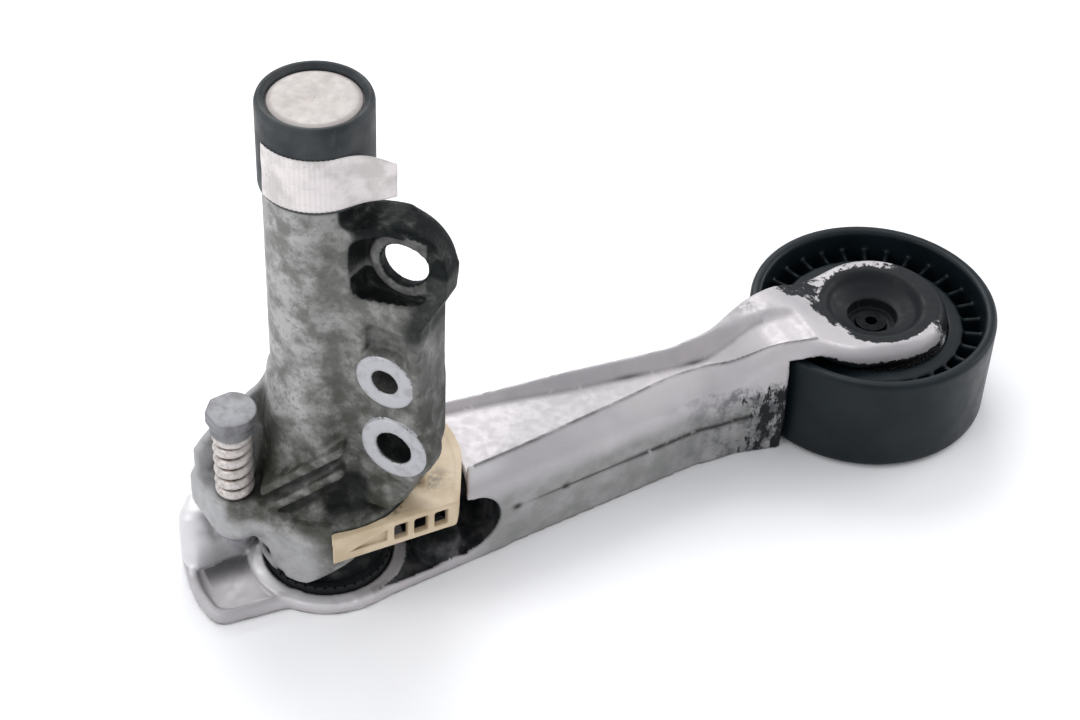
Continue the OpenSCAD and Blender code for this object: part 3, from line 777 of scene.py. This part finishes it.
def arm_masks(p):
    """Where the arm is dirty, stained or painted, and where shade and highlights are painted on it, from each
    point's place in the arm's frame.
    """
    s, t, z = p[:, 0], p[:, 1], p[:, 2]
    plan = arm_outline(s, t)
    beam_side = (plan > -2.2) & (t < 0) & (s > 20)
    # Painted shade: the lower part of the arm's near side wall, which faces away from the light, is darkened.
    wall = ramp(21.5 - z, 0, 5) * beam_side * ramp(s, 26, 44) * 0.95
    rise = z - SEAM_Z
    seam = most(bell(rise, 0.4) * beam_side * ramp(s, 40, 60) * (s < 128) * 0.9,
                bell(rise, 0.8) * beam_side * ramp(s, 66, 84) * (s < 128),
                *(1.2 * bell(s - spot, 1.3) * bell(rise, 0.9) * beam_side for spot in (44.5, 58.5)))
    # Dark line along the near ridge: partly a painted shadow where the ridge hides the channel floor, partly a
    # dirty corner.
    crest = bell(t - near_crest(s) + 0.7, 0.5) * (z > 26.5) * (s > 34) * (s < 131)
    foot = bell(t - far_foot(s), 0.55) * (np.abs(z - channel_floor(s)) < 1.2) * (s < 122)
    foot = foot * (0.30 + 0.5 * bell(s - 86, 4) + 0.5 * bell(s - 104, 3))
    es = s - ARM_L
    r = np.sqrt(es ** 2 + t ** 2)
    angle = np.degrees(np.arctan2(t, es))
    # Rubber dust stains near the pulley and the eye, and painted shade along the lowest millimetre, where the arm
    # meets the floor.
    stain_and_shade = most(ramp(s, 84, 118) * beam_side * (z < 24) * 0.85,
                 bell(s - 122, 5) * bell(t - 8, 4) * 0.7, ramp(1.0 - z, 0, 1) * 0.3)
    paint = ramp(s, 96, 124) * beam_side * ramp(27 - z, 0, 7) * 0.62
    eye = ramp(s, 134, 141) * (z > 20)
    facing = np.cos(np.radians(angle - 97))
    near_wear = np.cos(np.radians(angle + 112))
    bare = most(0.68 * ramp(facing, 0.2, 0.7) * ramp(r, 13.4, 15.0),
                ramp(near_wear, 0.15, 0.75) * ramp(r, 14.8, 16.6) * 0.95,
                ramp(-t, 1, 7) * ramp(146 - s, 0, 6))
    far_band = ramp(s, 126, 134) * ramp(t, 5.5, 9) * (z > 29) * ramp(148 - s, 0, 6)
    near_side = ramp(s, 120, 130) * ramp(arm_top(s) - z, 2.6, 4.6) * (t < 0) * (z > 20)
    paint = most(paint, eye * (1 - 0.85 * bare), (r < 13.0) * (z > 21) * 1.3,
                 far_band * 0.7, near_side * 0.85)
    # Painted shade in the recesses: the side pocket, behind the lip, the hub's cup and the tray by the rim.
    inside_pocket = (plan < -0.9) & (s > 3) & (s < 41) & (t < 6) & (z > 0.9) & (z < 21.2)
    inside_pocket &= (circle(s - POCKET_AT[0], z - POCKET_AT[1], POCKET_R) < 0.5) | (s < POCKET_AT[0])
    from_axis = np.sqrt(s * s + t * t)
    inside_pocket &= (from_axis > HUB_R - 0.5)
    hub = (from_axis < 15.6) & (z > 1)
    behind_lip = (plan < -1.6) & (s > 3) & (s < 41) & (t < 6) & (z > 0.9) & (z < 8)
    behind_lip &= (from_axis > HUB_R + 1.6)
    tray = (s > -30.4) & (s < -18.6) & (t > -4) & (t < 7.6) & (z > 0.8) & (z < 2.4)
    tray_dark = ramp(t, -2, 5) * tray * 0.75
    grime_and_shade = np.maximum(np.where(inside_pocket | hub | behind_lip, 1.0, 0), tray_dark)
    # Painted highlight on the stop lug, the edge of the hub's ring and the top of the arm near the hub.
    painted_highlight = most(ramp(-19.5 - s, 0, 3) * ramp(t, 3, 6) * (z > 3),
                  bell(np.hypot(s, t) - 18.6, 1.2) * (z > 2.2) * (z < 4.2) * (s < 4),
                  ramp(s, 20, 28) * ramp(46 - s, 0, 10) * ramp(z, 24, 27) * 0.5)
    return {"wall": wall, "seam": most(seam, foot), "line": crest, "stain_and_shade": stain_and_shade, "paint": paint,
            "grime_and_shade": grime_and_shade, "painted_highlight": painted_highlight}


def build_arm():
    g = Grid((-37, -24, -1.5), (ARM_L + 23, 24, 37.5), mesh_step(0.5))
    points, quads = surface(g, arm_field(g))
    masks = arm_masks(points)
    points[:, :2] = points[:, :2] @ ARM_TO_ROW.T
    obj = mesh_piece("arm_casting", points, quads, masks)
    finish_piece(obj, "arm", "arm", "arm")


# ---- Housing ----

def lug_plan(x, z):
    """Outline of the mounting lug, seen along Y."""
    hood_x, hood_z, hood_r = 20.5, 104.5, 11.4
    edge = [(0, 33), (21, 33), (25.6, 38.5), (28.2, 46), (29.6, 53), (29.6, 70), (29.2, 74), (29.2, 92),
            (32, 98), (32, hood_z), (hood_x, hood_z + hood_r), (0, 113)]
    return join(outline(x, z, edge), circle(x - hood_x, z - hood_z, hood_r), 2.0)


def bolt_boss(g, place, r, front, back=SEAT_Y):
    return keep(about(g.x, g.z, place, r), slab(g.y, front, back), 0.5)


def rim_front(x, z):
    """Y of the lug's front, which falls back towards the right side of the hood."""
    return -8.0 + 0.42 * np.clip(x - 12, 0, 17) * ramp(z, 90, 99)


def lug_field(g):
    """Plate with a rim towards the bolt heads, hollows, and a boss round each bore."""
    x, y, z = g.x, g.y, g.z
    plan = lug_plan(x, z)
    plate = keep(plan, slab(y, -8.0, SEAT_Y), 1.8)
    plate = keep(plate, rim_front(x, z) - y, 0.7)
    inside = plan + 3.0
    hood = keep(keep(inside, 95.5 - z, 3.0), 12.0 - x, 4.0)
    middle = keep(keep(plan + 3.8, slab(z, 77, 89), 3.0), 15.5 - x, 3.0)
    middle = cut(middle, about(x, z, MIDDLE_BORE, 7.8), 0.8)
    plate = cut(plate, keep(hood, y + 2.5, 0.9), 1.3)
    deep = cut(hood, about(x, z, UPPER_BORE, BOSS_R), 0.6)
    plate = cut(plate, keep(deep, y + 1.2, 0.4), 0.6)
    plate = cut(plate, keep(middle, y + 5.4, 1.4), 2.2)
    plate = join(plate, bolt_boss(g, MIDDLE_BORE, MIDDLE_BOSS_R, -8.8), 1.2)
    plate = join(plate, bolt_boss(g, LOWER_BORE, 9.6, -7.8, -3), 1.6)
    plate = np.minimum(plate, bolt_boss(g, LOWER_BORE, BOSS_R, -9.3, -3))
    u, v = x - UPPER_BORE[0], z - UPPER_BORE[1]
    along = np.clip((-1.5 * u - 6 * v) / (1.5 ** 2 + 6 ** 2), 0, 1)
    recess = keep(circle(u + 1.5 * along, v + 6 * along, 7.8), 0.3 - y, 0.3)
    return cut(plate, recess, 0.4)


def rib_place(x, y, z, start):
    """(along, inward, up) of points, seen from the rib that starts at that height."""
    heading, slope = math.radians(21.6), math.radians(38.4)
    c, n = math.cos(heading), math.sin(heading)
    along = (x + 4) * c + (y + 18.6) * n
    inward = -(x + 4) * n + (y + 18.6) * c
    return along, inward, (z - start - along * math.tan(slope)) * math.cos(slope)


def flange_rib(g, start):
    """Rib that climbs across the front of the base, from the flange towards the lug."""
    along, inward, up = rib_place(g.x, g.y, g.z, start)
    return keep(keep(slab(along, -2.5, 17.5), slab(inward, -0.7, 8), 1.2), slab(up, 0, 2.2), 0.7)


def ear_field(g):
    x, y, z = g.x, g.y, g.z
    corner = (-24.9, -15.8)
    px, py = PIN_AT[0], PIN_AT[1]
    edge = [(corner[0] - 1.4, corner[1] - 1.4), (px - 3.5, py - 4.8), (px + 4.0, py - 4.8),
            (-4, -16), (8, -8), (-2, 6), (-12, 2)]
    shelf = keep(outline(x, y, edge) - 0.8, slab(z, 22, 32), 1.5)
    boss = pin(x - px, y - py, z, 5.6, 20, 32, 1.2)
    ear = join(shelf, boss, 1.5)
    # guard wall between the tube and the corner of the ear
    start = np.array((-11.5, -4.0))
    run = np.array(corner) - start
    length = np.linalg.norm(run)
    ux, uy = run / length
    along = (x - start[0]) * ux + (y - start[1]) * uy
    across = -(x - start[0]) * uy + (y - start[1]) * ux
    side = outline(along, z, [(-4, 24), (length, 24), (length + 1.6, 26), (length + 1.6, 39),
                              (length - 1, 43), (length - 7, 50), (length - 13, 55.5), (0, 60),
                              (-4, 61)])
    guard = keep(side, np.abs(across) - 1.3, 1.1)
    return join(ear, guard, 2.0)


def front_wall(g):
    """Wall that hangs from the flange in front of the arm's cup. Its lowest tip is near azimuth -89."""
    x, y, z = g.x, g.y, g.z
    r = np.sqrt(x * x + y * y)
    azimuth = np.degrees(np.arctan2(y, x))
    foot = 5.6 + 0.17 * np.maximum(0, -93 - azimuth) + 0.28 * np.maximum(0, azimuth + 84)
    face = outline(r, z, [(13, 5.6), (15.8, 5.6), (16.3, 6.8), (17.6, 8.4), (19.8, 19),
                          (20.8, 27), (13, 27)])
    wall = keep(keep(face, foot - z, 1.2), wedge(x, y, 232, 322), 1.2)
    for heading, level in NOTCHES:
        across = np.abs(azimuth - heading) * MM_PER_DEGREE - 1.2
        notch = keep(keep(across, slab(z, level, level + 3.2), 0.8), 16.0 - r, 0.4)
        wall = cut(wall, notch, 0.8)
    # room for the pin and its clip
    return cut(wall, pin(x - PIN_AT[0], y - PIN_AT[1], z, 5.3, 0, 20.1), 0.4)


def housing_field(g):
    x, y, z = g.x, g.y, g.z
    r = np.sqrt(x * x + y * y)
    tube = keep(r - TUBE_R, slab(z, 26, SLEEVE_LOW[2] - 0.1), 0.6)
    neck = keep(r - 11.15, slab(z, 100, TOP - 5.1), 0.4)
    cone = outline(r, z, [(0, 28), (17.2, 28), (14.6, 42), (TUBE_R, 64), (0, 64)])
    body = join(np.minimum(tube, neck), cone, 4.0)
    # hollow under the lug, between the ribs and the flange
    hollow = keep(keep(slab(r, 13.4, 30), slab(z, 32.5, 43), 2.5), wedge(x, y, 297, 352), 2.5)
    body = cut(body, hollow, 1.5)
    flange = keep(r - FLANGE_R, slab(z, 26, 31), 1.8)
    body = join(body, flange, 2.0)
    body = join(body, keep(r - 14, slab(z, 5.5, 27), 0.5), 0.5)
    body = join(body, front_wall(g), 1.6)
    body = join(body, ear_field(g), 2.5)
    for start in RIB_STARTS:
        body = join(body, flange_rib(g, start), 1.3)
    body = join(body, lug_field(g), 2.4)
    body = np.maximum(body, -(r - BORE_R))
    body = np.maximum(body, -keep(r - 12.4, z - 7.2, 0.1))
    for place in (UPPER_BORE, MIDDLE_BORE, LOWER_BORE):
        body = cut(body, about(x, z, place, place[2]) + 0 * y, 0.45)
    return cut(body, pin(x - PIN_AT[0], y - PIN_AT[1], z, 3.1, 10, 40, 0.05), 0.4)


def housing_masks(p):
    """Oily and grimy regions of the housing, with painted shade in its hollows and on its right side, and paler
    regions that are partly painted light.
    """
    x, y, z = p[:, 0], p[:, 1], p[:, 2]
    r = np.hypot(x, y)
    azimuth = np.degrees(np.arctan2(y, x))
    plan = lug_plan(x, z)
    # Oily patches near the flange, and painted shade darkening the housing's right side, away from the light.
    oil_and_shade = most(ramp(62 - z, 0, 14) * ramp(z, 24, 31) * (0.6 + 0.4 * ramp(x, -18, -8)),
               ramp(x, 0, 9) * (0.55 + 0.35 * ramp(80 - z, 0, 15)))
    # Painted shade, partly oily: the top and the right side of the lug and its hollows are darkened.
    hood = ramp(z, 100, 104) * ramp(x, 3, 7) * ramp(y, -7.9, -7.2)
    inside = (y > rim_front(x, z) + 0.9) & (plan < -2.4) & (z > 94.4) & (x > 9)
    middle = (y > -6.5) & (plan < -3.4) & (z > 76.5) & (z < 89.6) & (x > 14)
    side = ramp(plan, -1.6, -0.4) * ramp(x, 22, 26)
    side = side * (0.35 + 0.5 * ramp(z, 84, 98)) * ramp(y, -7.9, -7.0)
    dark_inside = np.where((z > 101) & (x < 19), 0.4, 1.0)
    grime_and_shade = most(hood, side, ramp(x, 23, 27) * ramp(z, 84, 90) * 0.85,
                 np.where(inside, dark_inside, 0), np.where(middle, 0.3, 0))
    # Painted shade: the ring round the upper bore and the inside of each bore are darkened.
    ring = (about(x, z, UPPER_BORE, BOSS_R) < 0.2) & (y < -1.4) & (y > -3.2)
    grime_and_shade = np.where(ring, 0.5, grime_and_shade)
    for place in (UPPER_BORE, MIDDLE_BORE, LOWER_BORE):
        hole = (about(x, z, place, place[2]) < 0.3) & (y > -8.6)
        grime_and_shade = np.where(hole & (y < 5), 0.6 if place is MIDDLE_BORE else 1.0, grime_and_shade)
    # Painted shade in the hollow under the lug, on the spigot below the shield, under the ribs and in the notches
    # of the front wall.
    hollow = ramp(azimuth, -66, -56) * ramp(-6 - azimuth, 0, 8) * ramp(z, 30.5, 32)
    hollow = hollow * ramp(45 - z, 0, 4) * ramp(19 - r, 0, 2)
    spigot = ramp(25 - z, 0, 2) * ramp(azimuth + (24 - z) * 3.2, -26, -20)
    grime_and_shade = most(grime_and_shade, hollow * 0.85, np.where((r < 20) & (z < 25.5), spigot, 0))
    for start in RIB_STARTS:
        along, inward, up = rib_place(x, y, z, start)
        slot = ramp(up, -3.4, -2.0) * ramp(-up, -0.5, 0.3) * ramp(along, -2, 2)
        grime_and_shade = np.maximum(grime_and_shade, slot * ramp(19 - along, 0, 4) * (inward > -0.5) * (inward < 9) * 0.8)
    notches = np.zeros(len(z))
    for heading, level in NOTCHES:
        near = bell((azimuth - heading) * MM_PER_DEGREE, 1.7) * bell(z - level - 1.6, 2.4)
        notches = np.maximum(notches, near)
    grime_and_shade = np.maximum(grime_and_shade, notches * (r > 14.5) * (r < 20.5) * (z < 25))
    # Painted light on the housing's left side, towards the light; the foot of the front wall is paler too.
    tip = ramp(29 - z, 0, 4) * ramp(-y, 8, 13) * ramp(12 - x, 0, 8) * 0.8
    guard = ramp(-x, 12.5, 15.5)
    pale_and_lit = most(tip, guard)
    return {"oil_and_shade": oil_and_shade * (1 - pale_and_lit), "grime_and_shade": grime_and_shade, "pale_and_lit": pale_and_lit * (r > 12)}


def boss_faces(points, quads):
    """Which faces lie on the turned front or back of a bolt boss."""
    centre = points[quads].mean(1)
    a, b, c = (points[quads[:, i]] for i in range(3))
    normal = np.cross(b - a, c - b)
    normal /= np.linalg.norm(normal, axis=1)[:, None] + 1e-9
    found = np.zeros(len(quads), bool)
    for place, r, front in ((MIDDLE_BORE, MIDDLE_BOSS_R, -8.3), (LOWER_BORE, 8.5, -8.4)):
        d = about(centre[:, 0], centre[:, 2], place)
        found |= (d < r) & (centre[:, 1] < front) & (normal[:, 1] < -0.2)
    for place, r in ((UPPER_BORE, 9), (MIDDLE_BORE, 8), (LOWER_BORE, 9.6)):
        d = about(centre[:, 0], centre[:, 2], place)
        found |= (d < r) & (centre[:, 1] > SEAT_Y - 0.4) & (normal[:, 1] > 0.5)
    return found


def build_housing():
    low, high = box_mm("housing")
    g = Grid(low - 1.6, high + 1.6, mesh_step(0.5))
    points, quads = surface(g, housing_field(g))
    obj = mesh_piece("housing_casting", points, quads, housing_masks(points))
    finish_piece(obj, "housing", "housing", "housing")
    obj.data.materials.append(MATERIALS["machined"])
    obj.data.polygons.foreach_set("material_index", boss_faces(points, quads).astype(np.int32))


# ---- Sleeve, disc and label ----

def build_sleeve():
    low, high = SLEEVE_LOW[2], TOP
    profile = [(11.25, low), (SLEEVE_R - 0.2, low), (SLEEVE_R, low + 0.6), (SLEEVE_R, high - 1.2),
               (SLEEVE_R - 0.5, high), (11.5, high), (10.6, high - 0.9), (10.6, high - 1.7),
               (11.25, high - 1.7)]
    obj = lathe("end_sleeve_cap", round_profile(profile, 0.45), steps=128)
    finish_piece(obj, "housing", "sleeve", "end_sleeve")


def build_disc():
    low = box_mm("end_plug")[0][2]
    profile = [(0.01, PLUG_TOP), (9.2, PLUG_TOP), (10.3, PLUG_TOP - 0.5), (10.4, PLUG_TOP - 1.0),
               (11.1, PLUG_TOP - 1.1), (11.1, low), (0.01, low)]
    obj = lathe("end_plug_disc", round_profile(profile, 0.3), steps=96)
    finish_piece(obj, "housing", "plug", "end_plug")


def build_label():
    """A strip round the sleeve whose last stretch has come unstuck and stands off."""
    low, high = box_mm("label")
    r = SLEEVE_R + 0.03
    start, leaves, flap = 238.0, 320.0, 13.0
    across, arc_steps, flap_steps = 20, 60, 30
    rows = []
    for i in range(arc_steps + 1):
        a = math.radians(start + (leaves - start) * i / arc_steps)
        rr = r + 0.05 + 0.16 * math.sin(i * 0.9) ** 2
        rows.append((rr * math.cos(a), rr * math.sin(a), math.cos(a), math.sin(a), 0.0))
    px, py = rows[-1][:2]
    for i in range(1, flap_steps + 1):
        w = i / flap_steps
        heading = math.radians(leaves + 90 - 18 * ramp(w, 0, 0.8) + 5 * math.sin(7 * w))
        px += math.cos(heading) * flap / flap_steps
        py += math.sin(heading) * flap / flap_steps
        rows.append((px, py, math.sin(heading), -math.cos(heading), w))
    top, bottom = high[2], low[2]
    outer, inner = [], []
    for x, y, nx, ny, w in rows:
        for k in range(across + 1):
            v = k / across
            z = bottom + 2.0 * w * w + (top - bottom - 5.0 * w * w) * v
            ripple = 0.12 * math.sin(5 * v + 9 * w) * w + 0.05 * math.sin(11 * v)
            outer.append((x + nx * (0.16 + ripple), y + ny * (0.16 + ripple), z))
            inner.append((x + nx * ripple, y + ny * ripple, z))
    n = across + 1
    half = n * len(rows)
    quads = []
    for i in range(len(rows) - 1):
        for k in range(across):
            a0, b0 = i * n + k, (i + 1) * n + k
            quads.append((a0, b0, b0 + 1, a0 + 1))
            quads.append((half + a0, half + a0 + 1, half + b0 + 1, half + b0))
        for k, turned in ((0, False), (across, True)):
            a0, b0 = i * n + k, (i + 1) * n + k
            face = (a0, half + a0, half + b0, b0)
            quads.append(face[::-1] if turned else face)
    for i, turned in ((0, True), (len(rows) - 1, False)):
        for a0 in range(i * n, i * n + across):
            face = (a0, half + a0, half + a0 + 1, a0 + 1)
            quads.append(face[::-1] if turned else face)
    obj = mesh_piece("blank_label", np.array(outer + inner), np.array(quads))
    finish_piece(obj, "housing", "label", "label")


# ---- Locking pin ----

def build_pin():
    """Shank, collar, tapered neck and a wide head with a flat cut on its outer side."""
    g = Grid((-8, -8, PIN_LOW[2] - 1), (8, 8, PIN_HIGH[2] + 1), mesh_step(0.2))
    x, y, z = g.x, g.y, g.z
    r = np.sqrt(x * x + y * y)
    top = PIN_HIGH[2]
    tip = PIN_LOW[2]
    shank = outline(r, z, [(0, tip), (2.2, tip), (3, tip + 1), (3, top - 3), (0, top - 3)])
    shank = np.maximum(shank, -keep(2.4 - r, slab(z, 18.7, 19.9), 0.05))
    neck = outline(r, z, [(0, 51.6), (4.6, 51.6), (5.2, 52.2), (4.8, 53.2), (4.6, 54.2),
                          (5.6, 55.6), (0, 56)])
    head = keep(r - 6.15, slab(z, top - 3.2, top), 0.6)
    for azimuth in (150, 196, 242):
        a = math.radians(azimuth)
        head = keep(head, x * math.cos(a) + y * math.sin(a) - 5.5, 0.3)
    dome = z - (top - 0.012 * r * r)
    head = keep(head, dome, 0.2)
    points, quads = surface(g, join(join(shank, neck, 0.3), head, 0.8))
    obj = mesh_piece("locking_pin_turned", moved(points, PIN_AT), quads)
    finish_piece(obj, "locking_pin", "pin", "locking_pin")


def build_spring():
    """Compression spring of five coils, with closed ends."""
    wire_r = 1.55
    low, high = SPRING_LOW[2] + wire_r, SPRING_HIGH[2] - wire_r
    mean_r = (SPRING_HIGH[0] - SPRING_LOW[0]) / 2 - wire_r
    turns, per_turn, sides = 5.9, 40, 12
    count = int(turns * per_turn)
    rings = []
    for i in range(count + 1):
        w = i / count
        a = 2 * math.pi * turns * w + 2.0
        climb = (w * turns - 0.5) / (turns - 1.0)
        z = low + (high - low) * min(1.0, max(0.0, climb))
        centre = np.array((mean_r * math.cos(a), mean_r * math.sin(a), z))
        out = np.array((math.cos(a), math.sin(a), 0))
        for k in range(sides):
            b = 2 * math.pi * k / sides
            rings.append(centre + wire_r * (math.cos(b) * out + math.sin(b) * np.array((0, 0, 1))))
    points = np.array(rings)
    caps = []
    for first in (0, count * sides):
        for k in range(1, sides // 2):
            ring = [first + k, first + k - 1, first + sides - k, first + (sides - k - 1)]
            caps.append(ring if first == 0 else ring[::-1])
    quads = np.concatenate([sheet_quads(count + 1, sides, False), caps])
    obj = mesh_piece("pin_spring_coil", moved(points, PIN_AT), quads)
    finish_piece(obj, "housing", "spring", "pin_spring")
    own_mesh(obj)


# ---- Shield ----

def shield_field(g):
    s, t, z = g.x, g.y, g.z
    r = np.sqrt(s * s + t * t)
    top = 30.0
    front = -22.6
    edge = [(-7.5, front), (60, front), (60, 12), (0, 6), (-3, -10)]
    plan = keep(slab(r, FLANGE_R + 0.3, 33.2), outline(s, t, edge), 0.4)
    plan = keep(plan, (s - t * 0.5 - 36.2) * 0.9, 0.8)
    plate = keep(plan, slab(z, top - 1.8, top), 0.5)
    front_wall = keep(slab(t, front, front + 2.0), slab(z, 22, top), 0.4)
    outer = keep(r - 33.2, 31.4 - r, 0.3)
    outer = keep(outer, slab(z, 22, top), 0.3)
    skirt = keep(np.minimum(front_wall, outer), plan, 0.3)
    body = join(plate, skirt, 0.7)
    for place in (10, 15.2, 20.4):
        hole = keep(np.abs(s - place) - 1.75, slab(z, 23.6, 28.6), 0.4)
        hole = keep(hole, slab(t, front - 3, front + 5), 0.1)
        body = cut(body, hole, 0.3)
    notch = outline(s, z, [(-3.0, 24.4), (6.4, 24.2), (6.4, 27.8)])
    body = cut(body, keep(notch, slab(t, front - 3, front + 1.1), 0.2), 0.4)
    for azimuth in (-30, 5):
        a = math.radians(azimuth)
        along = s * math.cos(a) + t * math.sin(a)
        across = -s * math.sin(a) + t * math.cos(a)
        hook, post = (keep(keep(np.abs(across) - 2, slab(along, FLANGE_R + back, FLANGE_R + 3.5), 0.3),
                           slab(z, foot, SHIELD_TOP), 0.2)
                      for back, foot in ((-1.5, 31.05), (0.4, top - 1)))
        body = join(body, np.minimum(hook, post), 0.3)
    return body


def build_shield():
    g = Grid((-12, -25, 20.5), (37, 12, SHIELD_TOP + 1), mesh_step(0.3))
    points, quads = surface(g, shield_field(g))
    s, t = points[:, 0], points[:, 1]
    r = np.hypot(s, t)
    # Painted shadow of the flange along the inner edge, and oily soiling near it.
    grime_and_shade = most(ramp(23.4 - r, 0, 1.6) * ramp(s, 4, 10) * 0.8,
                 bell(s - 20, 6) * bell(t + 13, 3.5) * (points[:, 2] > 28.5))
    points[:, :2] = points[:, :2] @ ARM_TO_ROW.T
    obj = mesh_piece("dust_shield_moulding", points, quads, {"grime_and_shade": grime_and_shade})
    finish_piece(obj, "housing", "shield", "dust_shield")


# ---- Pulley ----

def pulley_field(g):
    x, y, z = g.x, g.y, g.z
    r = np.sqrt(x * x + y * y)
    low, high = PULLEY_LOW[2], PULLEY_HIGH[2]
    middle = (low + high) / 2
    rim = keep(slab(r, PULLEY_R - 3.1, PULLEY_R), slab(z, low, high), 1.3)
    web = keep(slab(r, 22, PULLEY_R - 2), slab(z, middle - 1.3, middle + 1.3), 0.2)
    hub = keep(slab(r, 20.02, 24.2), slab(z, 6.5, 23.5), 0.5)
    body = join(np.minimum(rim, hub), web, 1.4)
    count = 30
    sector = 2 * math.pi / count
    angle = np.arctan2(y, x)
    local = angle - sector * (np.round(angle / sector - 0.5) + 0.5)
    across = np.abs(r * np.sin(local)) - 0.62
    crown = slab(z, 6, 23.2) + 0.06 * np.maximum(0, PULLEY_R - 4 - r)
    ribs = keep(keep(across, slab(r, 22, PULLEY_R - 1), 0.3), crown, 0.5)
    return join(body, ribs, 0.8)


def build_pulley():
    low = (-PULLEY_R - 1.2, -PULLEY_R - 1.2, PULLEY_LOW[2] - 1)
    high = (PULLEY_R + 1.2, PULLEY_R + 1.2, PULLEY_HIGH[2] + 1)
    g = Grid(low, high, mesh_step(0.4))
    points, quads = surface(g, pulley_field(g))
    obj = mesh_piece("pulley_moulding", moved(points, PULLEY_AT), quads)
    finish_piece(obj, "pulley", "pulley", "pulley")


# ---- CAD nodes that stay ----

NODE_LOOKS = {
    "torsion_bar": "steel", "bar_anchor": "steel", "upper_bush": "bronze", "lower_bush": "bronze",
    "shaft_seal": "rubber", "pivot_shaft": "steel", "friction_ring": "black", "thrust_washer": "bronze",
    "retaining_ring": "steel", "pin_clip": "pin", "bearing_outer_ring": "steel",
    "bearing_inner_ring": "steel", "bearing_balls": "steel", "bearing_cage": "shield",
    "bearing_seals": "rubber", "pulley_bolt": "bolt", "pulley_washer": "pin",
}


def dress_nodes():
    """Gives the CAD nodes that stay their materials, with a small bevel on the visible ones."""
    for name, look in NODE_LOOKS.items():
        obj = frame["nodes"][name]
        obj.data.materials.clear()
        obj.data.materials.append(MATERIALS[look])
        if name in ("friction_ring", "pulley_bolt", "pulley_washer", "pin_clip"):
            bevel = obj.modifiers.new("soft_edges", "BEVEL")
            bevel.width = 0.15 * MM
            bevel.segments = 2
            bevel.limit_method = "ANGLE"


# ---- Camera, light and floor ----

CAMERA_AT = (0.2161, -0.3608, 0.4511)
CAMERA_HEADING = math.radians(114.075)
CAMERA_FALL = math.radians(42.44)
CAMERA_ROLL = 0.05036
CAMERA_LENS = 82.09


def build_camera():
    """A camera at the measured place. Its heading is counted from +X, and its fall is downwards."""
    forward = Vector((math.cos(CAMERA_FALL) * math.cos(CAMERA_HEADING),
                      math.cos(CAMERA_FALL) * math.sin(CAMERA_HEADING), -math.sin(CAMERA_FALL)))
    level = Vector((math.sin(CAMERA_HEADING), -math.cos(CAMERA_HEADING), 0))
    upright = level.cross(forward)
    right = math.cos(CAMERA_ROLL) * level + math.sin(CAMERA_ROLL) * upright
    up = -math.sin(CAMERA_ROLL) * level + math.cos(CAMERA_ROLL) * upright
    data = bpy.data.cameras.new("camera")
    data.lens = CAMERA_LENS
    data.sensor_width = 36
    data.clip_start, data.clip_end = 0.01, 20
    camera = bpy.data.objects.new("camera", data)
    camera.matrix_world = Matrix((
        (right.x, up.x, -forward.x, CAMERA_AT[0]), (right.y, up.y, -forward.y, CAMERA_AT[1]),
        (right.z, up.z, -forward.z, CAMERA_AT[2]), (0, 0, 0, 1)))
    bpy.context.scene.collection.objects.link(camera)
    bpy.context.scene.camera = camera


def area_light(name, place, target, size, power, colour=(1, 1, 1)):
    data = bpy.data.lights.new(name, "AREA")
    data.shape = "RECTANGLE"
    data.size, data.size_y = size
    data.energy = power
    data.color = colour
    light = bpy.data.objects.new(name, data)
    light.location = place
    light.rotation_mode = "QUATERNION"
    light.rotation_quaternion = (Vector(target) - Vector(place)).to_track_quat("-Z", "Y")
    bpy.context.scene.collection.objects.link(light)


def build_stage():
    mesh = bpy.data.meshes.new("floor")
    half = 3.0
    corners = [(-half, -half, 0), (half, -half, 0), (half, half, 0), (-half, half, 0)]
    mesh.from_pydata(corners, [], [(0, 1, 2, 3)])
    floor = bpy.data.objects.new("floor", mesh)
    mesh.materials.append(floor_paint())
    bpy.context.scene.collection.objects.link(floor)
    world = bpy.data.worlds.new("studio")
    world.use_nodes = True
    back = world.node_tree.nodes["Background"]
    back.inputs["Color"].default_value = (0.95, 0.96, 1.0, 1)
    back.inputs["Strength"].default_value = 0.80
    scene = bpy.context.scene
    scene.world = world
    scene.view_settings.view_transform = "Standard"
    scene.view_settings.look = "None"
    scene.view_settings.exposure = 0.0
    middle = (0.05, 0.06, 0.04)
    area_light("key", (-0.55, 0.75, 0.95), middle, (0.8, 0.8), 8.0)
    area_light("fill", (-0.5, -0.6, 0.7), middle, (0.7, 0.7), 3.5)
    area_light("back", (0.7, 0.9, 0.5), middle, (0.8, 0.5), 4.0)


build_camera()
build_stage()
build_arm()
build_housing()
build_sleeve()
build_disc()
build_label()
build_pin()
build_spring()
build_shield()
build_pulley()
dress_nodes()
